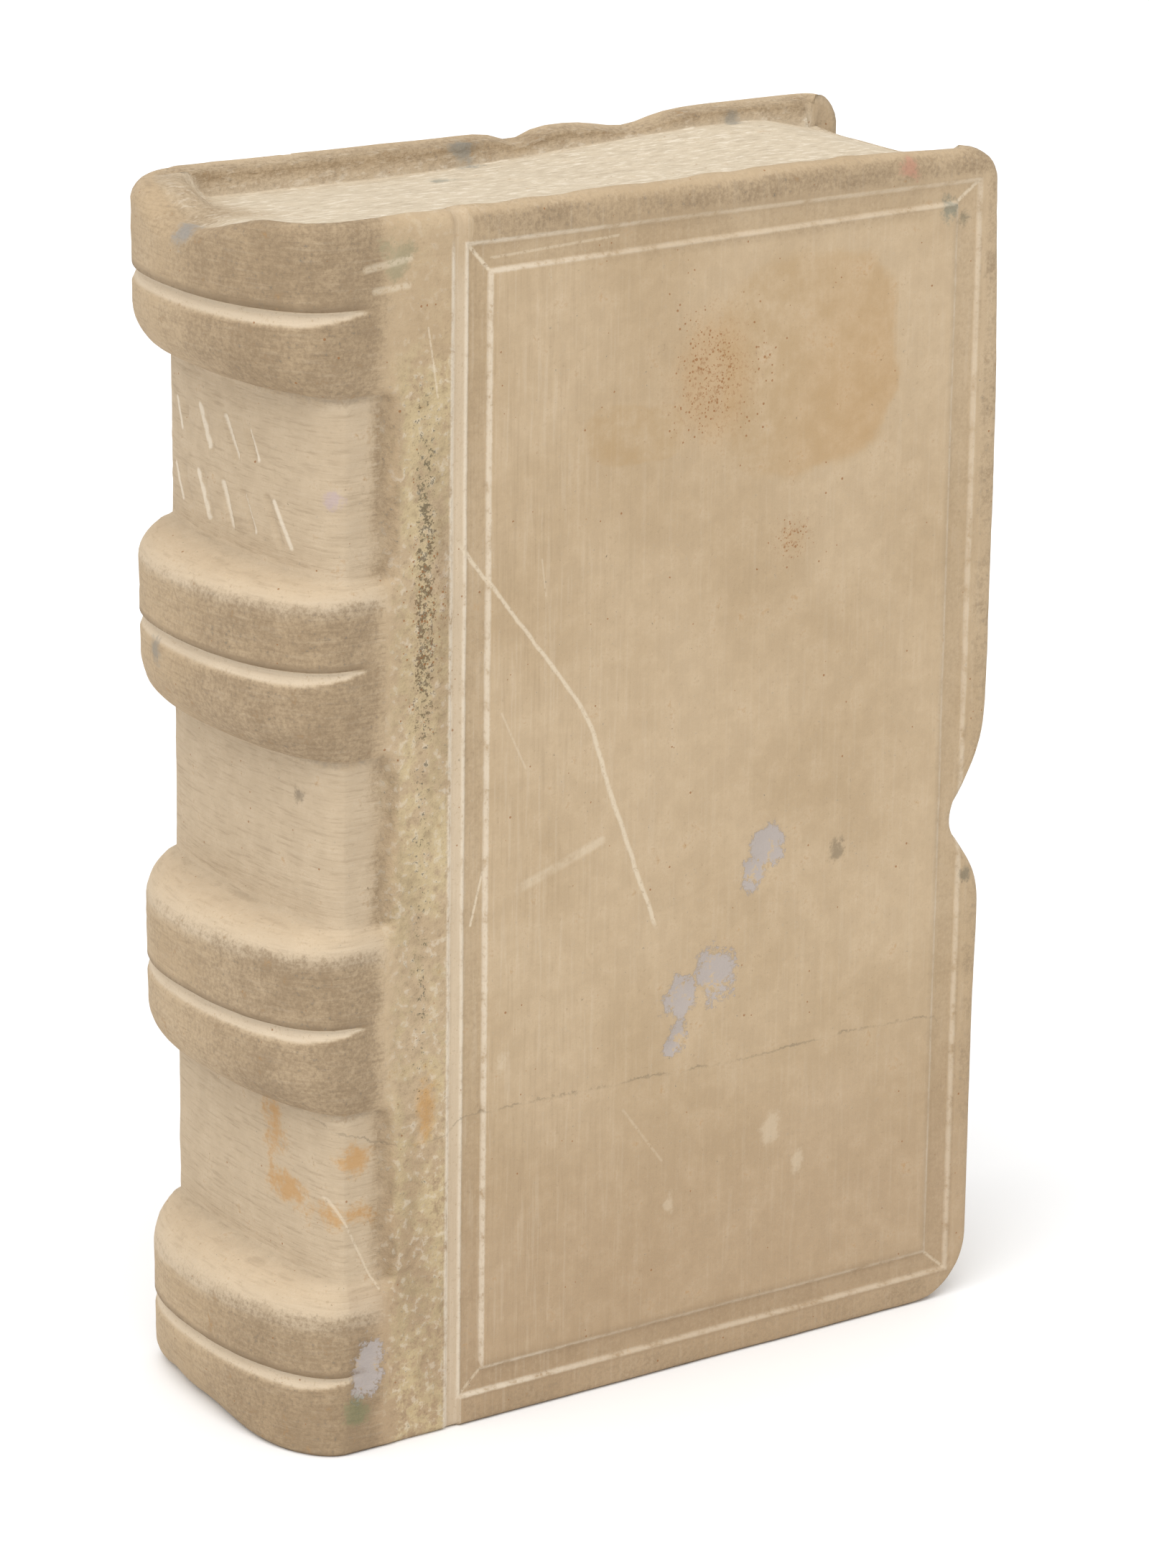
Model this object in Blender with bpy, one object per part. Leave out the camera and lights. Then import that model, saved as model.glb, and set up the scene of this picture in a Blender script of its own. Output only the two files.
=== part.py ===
"""A stone book carved from one block of limestone, standing upright on its tail.

The block is a lattice of rings stacked up the book's height. Each ring runs along the front board, round
the fore edge, back along the back board and round the spine, and the functions below say how deep the
carver cut at each place. Metres, +Z up; the spine is at -X, the front board faces -Y, and the origin is
the middle of the underside.
"""

import math

import bmesh
import bpy

# Plan of the block, seen from above. It is a little thicker at the spine than at the fore edge.
FORE_EDGE_X = 0.0446
BACK_BOARD_SHORTER = 0.0012
HEAD_NARROWER = 0.0008
HEAD_NARROWS_FROM = 0.0953
TAIL_NARROWER = 0.0004
TAIL_NARROWS_FROM = 0.0603
TAIL_NARROWS_TO = 0.0303
SPINE_APEX_X = -0.0420
SPINE_LEAN = 0.0028
ARC_START_X = -0.0349
SPINE_ROUNDNESS = 2.2
THICKNESS_AT_SPINE = 0.0348
THICKNESS_AT_FORE_EDGE = 0.0293

# Heights of the crests of the two boards and of the spine's head, whose rim sinks towards its apex
FRONT_CREST = 0.1252
FRONT_CREST_FALL = 0.0004
FRONT_CREST_FALLS_BETWEEN = (0.0216, 0.0406)
BACK_CREST_AT_SPINE = 0.1250
BACK_CREST_AT_FORE_EDGE = 0.1258
BACK_CREST_RISES_BETWEEN = (-0.0094, 0.0366)
SPINE_APEX_CREST = 0.1228
HEAD_CAP_CREST = 0.1250
RIM_SINKS_OVER_SHARES = (0.12, 0.45)
RIM_RISES_OVER_SHARES = (0.55, 0.78)

# Raised bands on the spine: where the bottom slope starts and ends, the groove, and the top slope
TOP_BAND = {"bottom_foot": 0.1076, "bottom_flat": 0.1131, "groove": 0.1163}
UPPER_BAND = {
    "bottom_foot": 0.0716,
    "bottom_flat": 0.0774,
    "groove": 0.0811,
    "top_flat": 0.0869,
    "top_foot": 0.0902,
}
LOWER_BAND = {
    "bottom_foot": 0.0354,
    "bottom_flat": 0.0404,
    "groove": 0.0448,
    "top_flat": 0.0512,
    "top_foot": 0.0553,
}
TAIL_BAND = {"groove": 0.0082, "top_flat": 0.0133, "top_foot": 0.0182}
BANDS = (TAIL_BAND, LOWER_BAND, UPPER_BAND, TOP_BAND)

# Spine panels, sunk between the bands, end in a soft shoulder on each board
PANEL_DEPTH_AT_APEX = 0.0051
PANEL_DEPTH_GAIN = 0.0008
PANEL_DEPTH_AT_SHOULDER = 0.0013
SHOULDER_FOOT_X = -0.0309
SHOULDER_TOP_X = -0.0297
GROOVE_DEPTH = 0.0008
GROOVE_RISE = 0.00035
GROOVE_FALL = 0.0015
GROOVE_TIP_X = -0.0324

# Hinge channel and sunk frame on each board
HINGE_LEFT_X = -0.0237
HINGE_DEPTH = 0.0003
FRAME_LEFT_X = (-0.0216, -0.0194)
FRAME_RIGHT_X = (0.0384, 0.0408)
FRAME_BOTTOM_Z = (0.0035, 0.0055)
FRAME_TOP_Z = (0.1187, 0.1214)
FRAME_DEPTH = 0.00035
FRAME_WALL = 0.0003

# Rounded edges
FORE_ARRIS_RADIUS = 0.0012
BOARD_TOP_RADIUS = 0.0016
BOARD_TAIL_RADIUS = 0.0006
SPINE_TAIL_ROUND_DEPTH = 0.0032
SPINE_TAIL_ROUND_HEIGHT = 0.0065
SPINE_TAIL_ROUNDS_OVER_SHARES = (0.10, 0.60)
SPINE_TAIL_ROUND_ENDS_WITHIN = 0.20
SPINE_HEAD_NEAR_RADIUS = 0.0007
SPINE_HEAD_FAR_RADIUS = 0.0022
FRONT_TAIL_CORNER = 0.0068
FRONT_HEAD_CORNER = 0.0045
BACK_TAIL_CORNER = 0.0050
BACK_HEAD_CORNER = 0.0036

# Pages: the hollow fore edge and the head, which slopes down towards the back board
PAGE_HOLLOW_DEPTH = 0.0064
PAGE_HOLLOW_RISE = 0.0024
PAGE_EDGE_CLEARANCE = 0.0012
PAGE_HEAD_AT_FRONT = 0.1250
PAGE_HEAD_AT_SPINE_FOOT = 0.1222
PAGE_HEAD_AT_FORE_FOOT = 0.1241
PAGE_HEAD_RISES_BETWEEN = (-0.0144, 0.0306)
PAGE_CORNER_FALL = 0.0015
PAGE_CORNER_FALLS_BETWEEN = (0.0306, 0.0391)
PAGE_CORNER_FULL_BY_SHARE = 0.35
BACK_BOARD_TOP_FALL = 0.0003
HEAD_CAP_WIDTH = 0.0034
HEAD_CAP_SLOPE = 0.0030

# Damage: a bite out of the front board's fore edge, and two chips along the back board's top edge
NOTCH_Z = 0.0533
NOTCH_DEPTH = 0.0041
NOTCH_REACH_UP = 0.0062
NOTCH_REACH_DOWN = 0.0047
BACK_CHIPS = ((0.0032, 0.0023, 0.0010), (0.0166, 0.0042, 0.0011))

# Where the lattice has lines beside those that the carving asks for: up the height, along the boards
# and, as shares of the thickness, from the front board to the middle
TAIL_ROWS = (0.0, 0.00025, 0.0006, 0.0016)
PLAIN_ROWS = (0.0278, 0.0483, 0.0608, 0.0658, 0.0998)
TOP_ROWS_START = 0.1217
TOP_ROW_SHARES = (0.35, 0.70, 0.90, 1.0)
STRIP_COLUMNS = (-0.0329, -0.0269)
COVER_COLUMNS = (-0.0104, -0.0014, 0.0032, 0.0094, 0.0154, 0.0216, 0.0296)
FORE_ARRIS_INSETS = (0.0008, 0.0003, 0.0)
BOARD_SHARES = (0.0, 0.02, 0.05, 0.08)
PAGE_SHARES = (0.092, 0.16, 0.26, 0.38)
INNER_WALL_SHARE = BOARD_SHARES[-1]
INNER_FOOT_SHARE = PAGE_SHARES[0]

STONE_COLOUR = (0.55, 0.44, 0.31, 1.0)
STONE_ROUGHNESS = 0.85


def clear_scene():
    for item in list(bpy.data.objects):
        bpy.data.objects.remove(item, do_unlink=True)


def smooth_step(start, end, value):
    share = min(max((value - start) / (end - start), 0.0), 1.0)
    return share * share * (3.0 - 2.0 * share)


def mix(first, second, share):
    return first + (second - first) * share


def round_inset(distance, radius):
    """How far a quarter round has drawn back at a distance from the edge that it replaces."""
    if distance >= radius:
        return 0.0
    return radius - math.sqrt(radius * radius - (radius - max(distance, 0.0)) ** 2)


def half_thickness(x):
    share = (x - ARC_START_X) / (FORE_EDGE_X - ARC_START_X)
    return 0.5 * mix(THICKNESS_AT_SPINE, THICKNESS_AT_FORE_EDGE, share)


def lattice_shares():
    """Lines across the thickness: close together at the boards, wider over the pages."""
    near_half = BOARD_SHARES + PAGE_SHARES
    far_half = tuple(1.0 - share for share in reversed(near_half))
    return near_half + (0.5,) + far_half


def station_xs():
    """Places along the boards at which the lattice has a column, from the spine to the fore edge."""
    left_strip = (ARC_START_X, STRIP_COLUMNS[0], SHOULDER_FOOT_X, SHOULDER_TOP_X, STRIP_COLUMNS[1])
    hinge = (HINGE_LEFT_X - FRAME_WALL / 2, HINGE_LEFT_X + FRAME_WALL / 2)
    cover = frame_lines(FRAME_LEFT_X) + COVER_COLUMNS + frame_lines(FRAME_RIGHT_X)
    fore_strip = tuple(FORE_EDGE_X - inset for inset in FORE_ARRIS_INSETS)
    return left_strip + hinge + cover + fore_strip


def frame_lines(edges):
    """The four lattice lines of one sunk strip of the frame: both tops and both feet of its walls."""
    first, second = edges
    return (first - FRAME_WALL, first, second, second + FRAME_WALL)


def slope_heights(flat, foot):
    """Heights over the rounded slope between a band's flat face and the panel beside it."""
    return [mix(flat, foot, share) for share in (0.0, 0.5, 0.85, 1.0)]


def row_levels():
    """Rings up the block, each a height and the share of the way on from there to the crest."""
    rows = list(TAIL_ROWS + PLAIN_ROWS + frame_lines(FRAME_BOTTOM_Z) + frame_lines(FRAME_TOP_Z))
    for band in BANDS:
        groove = band["groove"]
        rows += [groove - GROOVE_FALL, groove, groove + GROOVE_RISE]
        if "top_foot" in band:
            rows += slope_heights(band["top_flat"], band["top_foot"])
        if "bottom_foot" in band:
            rows += slope_heights(band["bottom_flat"], band["bottom_foot"])
    return [(row, 0.0) for row in sorted(rows)] + [(TOP_ROWS_START, share) for share in TOP_ROW_SHARES]


def panel_share(z):
    """0 on a band's face, 1 on a sunk panel, and a quarter round between them."""
    deepest = 1.0
    for band in BANDS:
        below = band.get("bottom_flat", -1.0)
        above = band.get("top_flat", 1.0)
        if below <= z <= above:
            return 0.0
        if "bottom_foot" in band and band["bottom_foot"] < z < below:
            share = (below - z) / (below - band["bottom_foot"])
            deepest = 1.0 - math.sqrt(1.0 - share * share)
        if "top_foot" in band and above < z < band["top_foot"]:
            share = (z - above) / (band["top_foot"] - above)
            deepest = 1.0 - math.sqrt(1.0 - share * share)
    return deepest


def groove_share(z):
    """1 at the bottom of a band's groove: a short steep side above it and a long slope below."""
    for band in BANDS:
        height = z - band["groove"]
        if 0.0 <= height < GROOVE_RISE:
            return 1.0 - height / GROOVE_RISE
        if -GROOVE_FALL < height < 0.0:
            return 1.0 + height / GROOVE_FALL
    return 0.0


def front_crest(x):
    return FRONT_CREST - FRONT_CREST_FALL * smooth_step(*FRONT_CREST_FALLS_BETWEEN, x)


def back_crest(x):
    share = smooth_step(*BACK_CREST_RISES_BETWEEN, x)
    crest = mix(BACK_CREST_AT_SPINE, BACK_CREST_AT_FORE_EDGE, share)
    for middle, reach, depth in BACK_CHIPS:
        crest -= depth * math.exp(-(((x - middle) / reach) ** 2))
    return crest


def spine_crest(share):
    """Height of the spine's head, from the front board (0) round to the back board (1)."""
    near = mix(FRONT_CREST, SPINE_APEX_CREST, smooth_step(*RIM_SINKS_OVER_SHARES, share))
    far = mix(SPINE_APEX_CREST, HEAD_CAP_CREST, smooth_step(*RIM_RISES_OVER_SHARES, share))
    return near if share < 0.5 else far


def fore_edge_x(z, front):
    """Where a board's fore edge lies at a height, with its rounded corners and the notch."""
    tail, head = (FRONT_TAIL_CORNER, FRONT_HEAD_CORNER) if front else (BACK_TAIL_CORNER, BACK_HEAD_CORNER)
    crest = front_crest(FORE_EDGE_X) if front else back_crest(FORE_EDGE_X)
    x = FORE_EDGE_X - round_inset(z, tail) - round_inset(crest - z, head)
    x -= HEAD_NARROWER * smooth_step(HEAD_NARROWS_FROM, FRONT_CREST, z)
    x -= TAIL_NARROWER * smooth_step(TAIL_NARROWS_FROM, TAIL_NARROWS_TO, z)
    if not front:
        x -= BACK_BOARD_SHORTER
    if front:
        reach = NOTCH_REACH_UP if z > NOTCH_Z else NOTCH_REACH_DOWN
        x -= NOTCH_DEPTH * math.exp(-(((z - NOTCH_Z) / reach) ** 2))
    return x


def frame_share(x, z):
    """1 in the sunk strip of the rectangular frame, 0 outside it, with a steep wall at each side."""
    outside = max(
        FRAME_LEFT_X[0] - x, x - FRAME_RIGHT_X[1], FRAME_BOTTOM_Z[0] - z, z - FRAME_TOP_Z[1]
    )
    inside = min(
        x - FRAME_LEFT_X[1], FRAME_RIGHT_X[0] - x, z - FRAME_BOTTOM_Z[1], FRAME_TOP_Z[0] - z
    )
    distance = max(outside, inside, 0.0)
    return max(1.0 - distance / FRAME_WALL, 0.0)


def board_depth(x, z):
    """How deep the carving is on the face of a board."""
    depth = FRAME_DEPTH * frame_share(x, z)
    if HINGE_LEFT_X < x < FRAME_LEFT_X[0] - FRAME_WALL / 2:
        depth = HINGE_DEPTH
    shoulder = (SHOULDER_TOP_X - x) / (SHOULDER_TOP_X - SHOULDER_FOOT_X)
    depth += PANEL_DEPTH_AT_SHOULDER * min(max(shoulder, 0.0), 1.0) * panel_share(z)
    groove = (GROOVE_TIP_X - x) / (GROOVE_TIP_X - ARC_START_X)
    depth += 0.5 * GROOVE_DEPTH * min(max(groove, 0.0), 1.0) * groove_share(z)
    return depth


def board_point(station, level, front):
    """A point of a board's face, in the column that a station gives and the ring that a level gives."""
    crest = front_crest(station) if front else back_crest(station)
    z = mix(level[0], crest, level[1])
    edge = fore_edge_x(z, front)
    squeeze_from = FRAME_RIGHT_X[0] - FRAME_WALL
    x = station
    if station > squeeze_from:
        squeeze = (edge - squeeze_from) / (FORE_EDGE_X - squeeze_from)
        x = squeeze_from + (station - squeeze_from) * squeeze
    head_radius = BOARD_TOP_RADIUS
    if front:
        rounding = smooth_step(ARC_START_X, HINGE_LEFT_X, x)
        head_radius = mix(SPINE_HEAD_NEAR_RADIUS, BOARD_TOP_RADIUS, rounding)
    depth = board_depth(x, z) + round_inset(z, BOARD_TAIL_RADIUS) + round_inset(crest - z, head_radius)
    depth += round_inset(edge - x, FORE_ARRIS_RADIUS)
    y = half_thickness(x) - depth
    return (x, -y if front else y, z)


def fore_edge_point(share, level):
    """A point of the fore edge: the two boards' edges, and the hollow edge of the pages between them."""
    front_corner = board_point(FORE_EDGE_X, level, True)
    back_corner = board_point(FORE_EDGE_X, level, False)
    x, y, z = (mix(a, b, share) for a, b in zip(front_corner, back_corner))
    if share <= INNER_WALL_SHARE:
        return (front_corner[0], y, front_corner[2])
    if share >= 1.0 - INNER_WALL_SHARE:
        return (back_corner[0], y, back_corner[2])
    across = abs(2.0 * share - 1.0)
    hollow = FORE_EDGE_X - PAGE_HOLLOW_DEPTH + PAGE_HOLLOW_RISE * across**3
    if level[1] > 0.0:
        z = mix(level[0], page_head(hollow, share), level[1])
    return (min(hollow, x - PAGE_EDGE_CLEARANCE), y, z)


def spine_point(share, level):
    """A point of the round spine, from the front board (0) to the back board (1)."""
    across = 2.0 * share - 1.0
    outward = (1.0 - abs(across) ** SPINE_ROUNDNESS) ** (1.0 / SPINE_ROUNDNESS)
    crest = spine_crest(share)
    z = mix(level[0], crest, level[1])
    head_radius = mix(SPINE_HEAD_NEAR_RADIUS, SPINE_HEAD_FAR_RADIUS, smooth_step(0.3, 0.6, share))
    rounding = smooth_step(*SPINE_TAIL_ROUNDS_OVER_SHARES, share)
    rounding *= min((1.0 - share) / SPINE_TAIL_ROUND_ENDS_WITHIN, 1.0)
    tail_radius = mix(BOARD_TAIL_RADIUS, SPINE_TAIL_ROUND_DEPTH, rounding)
    tail_height = mix(BOARD_TAIL_RADIUS, SPINE_TAIL_ROUND_HEIGHT, rounding)
    deepest = PANEL_DEPTH_AT_APEX + PANEL_DEPTH_GAIN * z / FRONT_CREST
    depth = mix(PANEL_DEPTH_AT_SHOULDER, deepest, outward) * panel_share(z)
    depth += GROOVE_DEPTH * mix(0.5, 1.0, outward) * groove_share(z)
    depth += round_inset(z * tail_radius / tail_height, tail_radius)
    depth += round_inset(crest - z, head_radius)
    reach_x = ARC_START_X - SPINE_APEX_X + SPINE_LEAN * z / FRONT_CREST
    reach_y = half_thickness(ARC_START_X)
    steepness = SPINE_ROUNDNESS - 1.0
    inward_x = outward**steepness / reach_x
    inward_y = -math.copysign(abs(across) ** steepness, across) / reach_y
    length = math.hypot(inward_x, inward_y)
    x = ARC_START_X - reach_x * outward + depth * inward_x / length
    y = reach_y * across + depth * inward_y / length
    return (x, y, z)


def page_head(x, share):
    """Height of the pages' head, which falls towards the back board and at the worn fore corner."""
    foot = mix(PAGE_HEAD_AT_SPINE_FOOT, PAGE_HEAD_AT_FORE_FOOT, smooth_step(*PAGE_HEAD_RISES_BETWEEN, x))
    height = mix(PAGE_HEAD_AT_FRONT, foot, share / (1.0 - INNER_FOOT_SHARE))
    corner = smooth_step(*PAGE_CORNER_FALLS_BETWEEN, x) * smooth_step(0.0, PAGE_CORNER_FULL_BY_SHARE, share)
    return height - PAGE_CORNER_FALL * corner


def head_height(x, share, spine_x):
    """Height of the head between the crests: the pages, the back board's top and the spine's cap."""
    if share > 1.0 - 0.5 * (INNER_WALL_SHARE + INNER_FOOT_SHARE):
        return back_crest(x) - BACK_BOARD_TOP_FALL * (1.0 - share) / INNER_WALL_SHARE
    pages = page_head(x, share)
    inward = x - spine_x
    rim = 1.0 - smooth_step(0.0, HEAD_CAP_WIDTH, inward)
    near = mix(pages, spine_crest(share), rim)
    cap = 1.0 - smooth_step(HEAD_CAP_WIDTH, HEAD_CAP_WIDTH + HEAD_CAP_SLOPE, inward)
    far = mix(pages, HEAD_CAP_CREST, cap)
    return mix(near, far, smooth_step(0.5, 0.75, share))


def ring_points(stations, shares, level):
    """One ring, counter-clockwise seen from above, from the front board's spine end."""
    ring = [board_point(x, level, True) for x in stations]
    ring += [fore_edge_point(share, level) for share in shares[1:-1]]
    ring += [board_point(x, level, False) for x in reversed(stations)]
    ring += [spine_point(share, level) for share in reversed(shares[1:-1])]
    return ring


def head_grid(mesh, ring, stations, shares):
    """Vertices over the head, blended from the four sides of the top ring."""
    across, along = len(shares) - 1, len(stations) - 1
    front = ring[: along + 1]
    fore = ring[along : along + across + 1]
    back = list(reversed(ring[along + across : 2 * along + across + 1]))
    spine = [ring[0]] + list(reversed(ring[2 * along + across + 1 :])) + [back[0]]
    grid = [list(spine)]
    for i in range(1, along):
        t = (stations[i] - stations[0]) / (stations[-1] - stations[0])
        line = [front[i]]
        for j in range(1, across):
            s = shares[j]
            sides = mix(front[i].co, back[i].co, s) + mix(spine[j].co, fore[j].co, t)
            corners = mix(mix(front[0].co, back[0].co, s), mix(front[-1].co, back[-1].co, s), t)
            point = sides - corners
            point.z = head_height(point.x, s, spine[j].co.x)
            line.append(mesh.verts.new(point))
        grid.append(line + [back[i]])
    grid.append(list(fore))
    return grid


def stone_material():
    material = bpy.data.materials.new("limestone")
    material.use_nodes = True
    shader = material.node_tree.nodes["Principled BSDF"]
    shader.inputs["Base Color"].default_value = STONE_COLOUR
    shader.inputs["Roughness"].default_value = STONE_ROUGHNESS
    shader.inputs["Metallic"].default_value = 0.0
    return material


def build_book():
    stations, shares, levels = station_xs(), lattice_shares(), row_levels()
    mesh = bmesh.new()
    rings = [[mesh.verts.new(point) for point in ring_points(stations, shares, level)] for level in levels]
    for lower, upper in zip(rings, rings[1:]):
        for i in range(len(lower)):
            following = (i + 1) % len(lower)
            mesh.faces.new((lower[i], lower[following], upper[following], upper[i]))
    mesh.faces.new(list(reversed(rings[0])))
    grid = head_grid(mesh, rings[-1], stations, shares)
    for first, second in zip(grid, grid[1:]):
        for j in range(len(first) - 1):
            mesh.faces.new((first[j], second[j], second[j + 1], first[j + 1]))
    mesh.normal_update()
    data = bpy.data.meshes.new("stone_bible")
    mesh.to_mesh(data)
    mesh.free()
    data.materials.append(stone_material())
    data.shade_smooth()
    data.set_sharp_from_angle(angle=math.radians(35))
    book = bpy.data.objects.new("stone_bible", data)
    bpy.context.scene.collection.objects.link(book)
    return book


def main():
    clear_scene()
    build_book()


main()
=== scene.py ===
import math

import bpy
import numpy as np
from mathutils import Matrix, Vector
from mathutils.geometry import delaunay_2d_cdt


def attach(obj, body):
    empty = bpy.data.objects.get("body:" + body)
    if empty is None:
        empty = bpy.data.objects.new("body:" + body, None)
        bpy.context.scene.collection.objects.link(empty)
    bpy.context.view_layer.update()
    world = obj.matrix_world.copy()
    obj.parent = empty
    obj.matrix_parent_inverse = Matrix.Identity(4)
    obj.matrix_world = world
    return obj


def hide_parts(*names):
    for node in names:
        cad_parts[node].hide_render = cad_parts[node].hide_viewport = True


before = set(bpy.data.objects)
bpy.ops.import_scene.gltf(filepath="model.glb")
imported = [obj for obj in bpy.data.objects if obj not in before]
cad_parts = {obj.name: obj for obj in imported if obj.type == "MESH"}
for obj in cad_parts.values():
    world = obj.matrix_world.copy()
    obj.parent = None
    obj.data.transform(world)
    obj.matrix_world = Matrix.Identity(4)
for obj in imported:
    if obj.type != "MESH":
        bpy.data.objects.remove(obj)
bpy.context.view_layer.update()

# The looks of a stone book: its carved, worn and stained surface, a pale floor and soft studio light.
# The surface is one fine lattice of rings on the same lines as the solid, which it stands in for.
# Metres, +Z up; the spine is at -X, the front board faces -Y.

# Camera: where it stands round the book and above the floor, in degrees, and what it looks at
CAMERA_TURN = -33.92
CAMERA_RISE = 17.12
CAMERA_ROLL = 0.79
CAMERA_DISTANCE = 0.60997
CAMERA_AIM = (0.00242, 0.0, 0.05962)
CAMERA_LENS = 136.69
CAMERA_SENSOR = 36.0

# Light: an even white studio and one wide softbox above, to the left and in front
WORLD_STRENGTH = 0.85
SOFTBOX_STRENGTH = 1.85
SOFTBOX_WIDTH = 55.0
SOFTBOX_TOWARDS = (-0.4, -0.33, 0.86)
FLOOR_TONE = (0.91, 0.91, 0.91, 1.0)
FLOOR_SIZE = 14.0

# How much brighter the front board looks than its own colour, under that light
LIGHT_ON_FRONT = 1.19

# Plan of the block
FORE_EDGE_X = 0.0446
BACK_BOARD_SHORTER = 0.0012
HEAD_NARROWER = 0.0008
HEAD_NARROWS_FROM = 0.0953
TAIL_NARROWER = 0.0004
TAIL_NARROWS_FROM = 0.0603
TAIL_NARROWS_TO = 0.0303
SPINE_APEX_X = -0.042
SPINE_LEAN = 0.0028
ARC_START_X = -0.0349
SPINE_ROUNDNESS = 2.2
THICKNESS_AT_SPINE = 0.0348
THICKNESS_AT_FORE_EDGE = 0.0293

# Heights of the crests of the boards and of the spine's head
FRONT_CREST = 0.1252
FRONT_CREST_FALL = 0.0007
FRONT_CREST_FALLS_BETWEEN = (0.0216, 0.0406)
BACK_CREST_AT_SPINE = 0.125
BACK_CREST_AT_FORE_EDGE = 0.1258
BACK_CREST_RISES_BETWEEN = (-0.0094, 0.0366)
SPINE_APEX_CREST = 0.1228
HEAD_CAP_CREST = 0.125
RIM_SINKS_OVER_SHARES = (0.12, 0.45)
RIM_RISES_OVER_SHARES = (0.55, 0.78)

# Raised bands on the spine
TOP_BAND = {"bottom_foot": 0.1076, "bottom_flat": 0.1131, "groove": 0.1163}
UPPER_BAND = {
    "bottom_foot": 0.0716,
    "bottom_flat": 0.0774,
    "groove": 0.0811,
    "top_flat": 0.0869,
    "top_foot": 0.0902,
}
LOWER_BAND = {
    "bottom_foot": 0.0354,
    "bottom_flat": 0.0404,
    "groove": 0.0448,
    "top_flat": 0.0512,
    "top_foot": 0.0553,
}
TAIL_BAND = {"groove": 0.0082, "top_flat": 0.0133, "top_foot": 0.0182}
BANDS = (TAIL_BAND, LOWER_BAND, UPPER_BAND, TOP_BAND)

# Spine panels, their shoulders and the bands' grooves
PANEL_DEPTH_AT_APEX = 0.0051
PANEL_DEPTH_GAIN = 0.0008
PANEL_DEPTH_AT_SHOULDER = 0.0013
SHOULDER_FOOT_X = -0.0309
SHOULDER_TOP_X = -0.0297
GROOVE_DEPTH = 0.0008
GROOVE_RISE = 0.00035
GROOVE_FALL = 0.0015
GROOVE_TIP_X = -0.0327
GROOVE_TAPER = 0.0075

# Hinge channel and sunk frame on each board
HINGE_LEFT_X = -0.0234
HINGE_DEPTH = 0.0003
FRAME_LEFT_X = (-0.0216, -0.0194)
FRAME_RIGHT_X = (0.0384, 0.0408)
FRAME_BOTTOM_Z = (0.0035, 0.0055)
FRAME_TOP_Z = (0.1189, 0.1213)
FRAME_TOP_CLOSES = 0.0004
FRAME_DEPTH = 0.00035
FRAME_WALL = 0.0003

# Rounded edges
FORE_ARRIS_RADIUS = 0.0012
BOARD_TOP_RADIUS = 0.0016
BOARD_TAIL_RADIUS = 0.0006
SPINE_TAIL_ROUND_DEPTH = 0.0032
SPINE_TAIL_ROUND_HEIGHT = 0.0065
SPINE_TAIL_ROUNDS_OVER_SHARES = (0.1, 0.6)
SPINE_TAIL_ROUND_ENDS_WITHIN = 0.2
SPINE_HEAD_NEAR_RADIUS = 0.0013
SPINE_HEAD_FAR_RADIUS = 0.0022
FRONT_TAIL_CORNER = 0.0068
FRONT_HEAD_CORNER = 0.0038
BACK_TAIL_CORNER = 0.005
BACK_HEAD_CORNER = 0.0036

# Pages
PAGE_HOLLOW_DEPTH = 0.0064
PAGE_HOLLOW_RISE = 0.0024
PAGE_EDGE_CLEARANCE = 0.0012
PAGE_HEAD_BELOW_CREST = 0.0004
PAGE_HEAD_AT_SPINE_FOOT = 0.1222
PAGE_HEAD_AT_FORE_FOOT = 0.1241
PAGE_HEAD_RISES_BETWEEN = (-0.0144, 0.0306)
PAGE_CORNER_FALL = 0.0015
PAGE_CORNER_FALLS_BETWEEN = (0.0306, 0.0391)
PAGE_CORNER_FULL_BY_SHARE = 0.35
BACK_BOARD_TOP_FALL = 0.0003
HEAD_CAP_WIDTH = 0.0034
HEAD_CAP_SLOPE = 0.003
INNER_WALL_SHARE = 0.08
INNER_FOOT_SHARE = 0.092

# Damage to the outline
NOTCH_Z = 0.0533
NOTCH_DEPTH = 0.0041
NOTCH_REACH_UP = 0.0062
NOTCH_REACH_DOWN = 0.0047
BACK_CHIPS = ((0.0032, 0.0023, 0.001), (0.0166, 0.0042, 0.0011))

# Shallow strokes in two rows on the top spine panel: middle height, length, the first and last
# stroke's place across the spine, and how many there are
STROKE_ROWS = ((0.1014, 0.0044, -0.0046, 0.0106, 4), (0.0944, 0.0048, -0.0098, 0.0118, 5))
STROKE_LEAN = 0.5
STROKE_HALF_WIDTH = 0.0006
STROKE_DEPTH = 0.00034

# Small chips through to grey stone, in pairs that overlap: place along the board, height, and reach
FLAKES = (
    (0.0158, 0.0547, 0.002, 0.0024),
    (0.0142, 0.0525, 0.002, 0.0016),
    (0.0052, 0.0408, 0.002, 0.0019),
    (0.0093, 0.0424, 0.0022, 0.0031),
    (0.0051, 0.0364, 0.0012, 0.0015),
    (0.004, 0.0354, 0.001, 0.0009),
    (-0.0331, 0.0088, 0.0019, 0.0028),
)
FLAKE_DEPTH = 0.00022

# The lattice: its pitches
FINE = 0.00015
CLOSE = 0.0003
MEDIUM = 0.00045
WIDE = 0.0008
COARSE = 0.0018
HEAD_PITCH = 0.00085
SPINE_NEAR_PITCH = 0.00034
SPINE_FAR_PITCH = 0.0009

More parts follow.
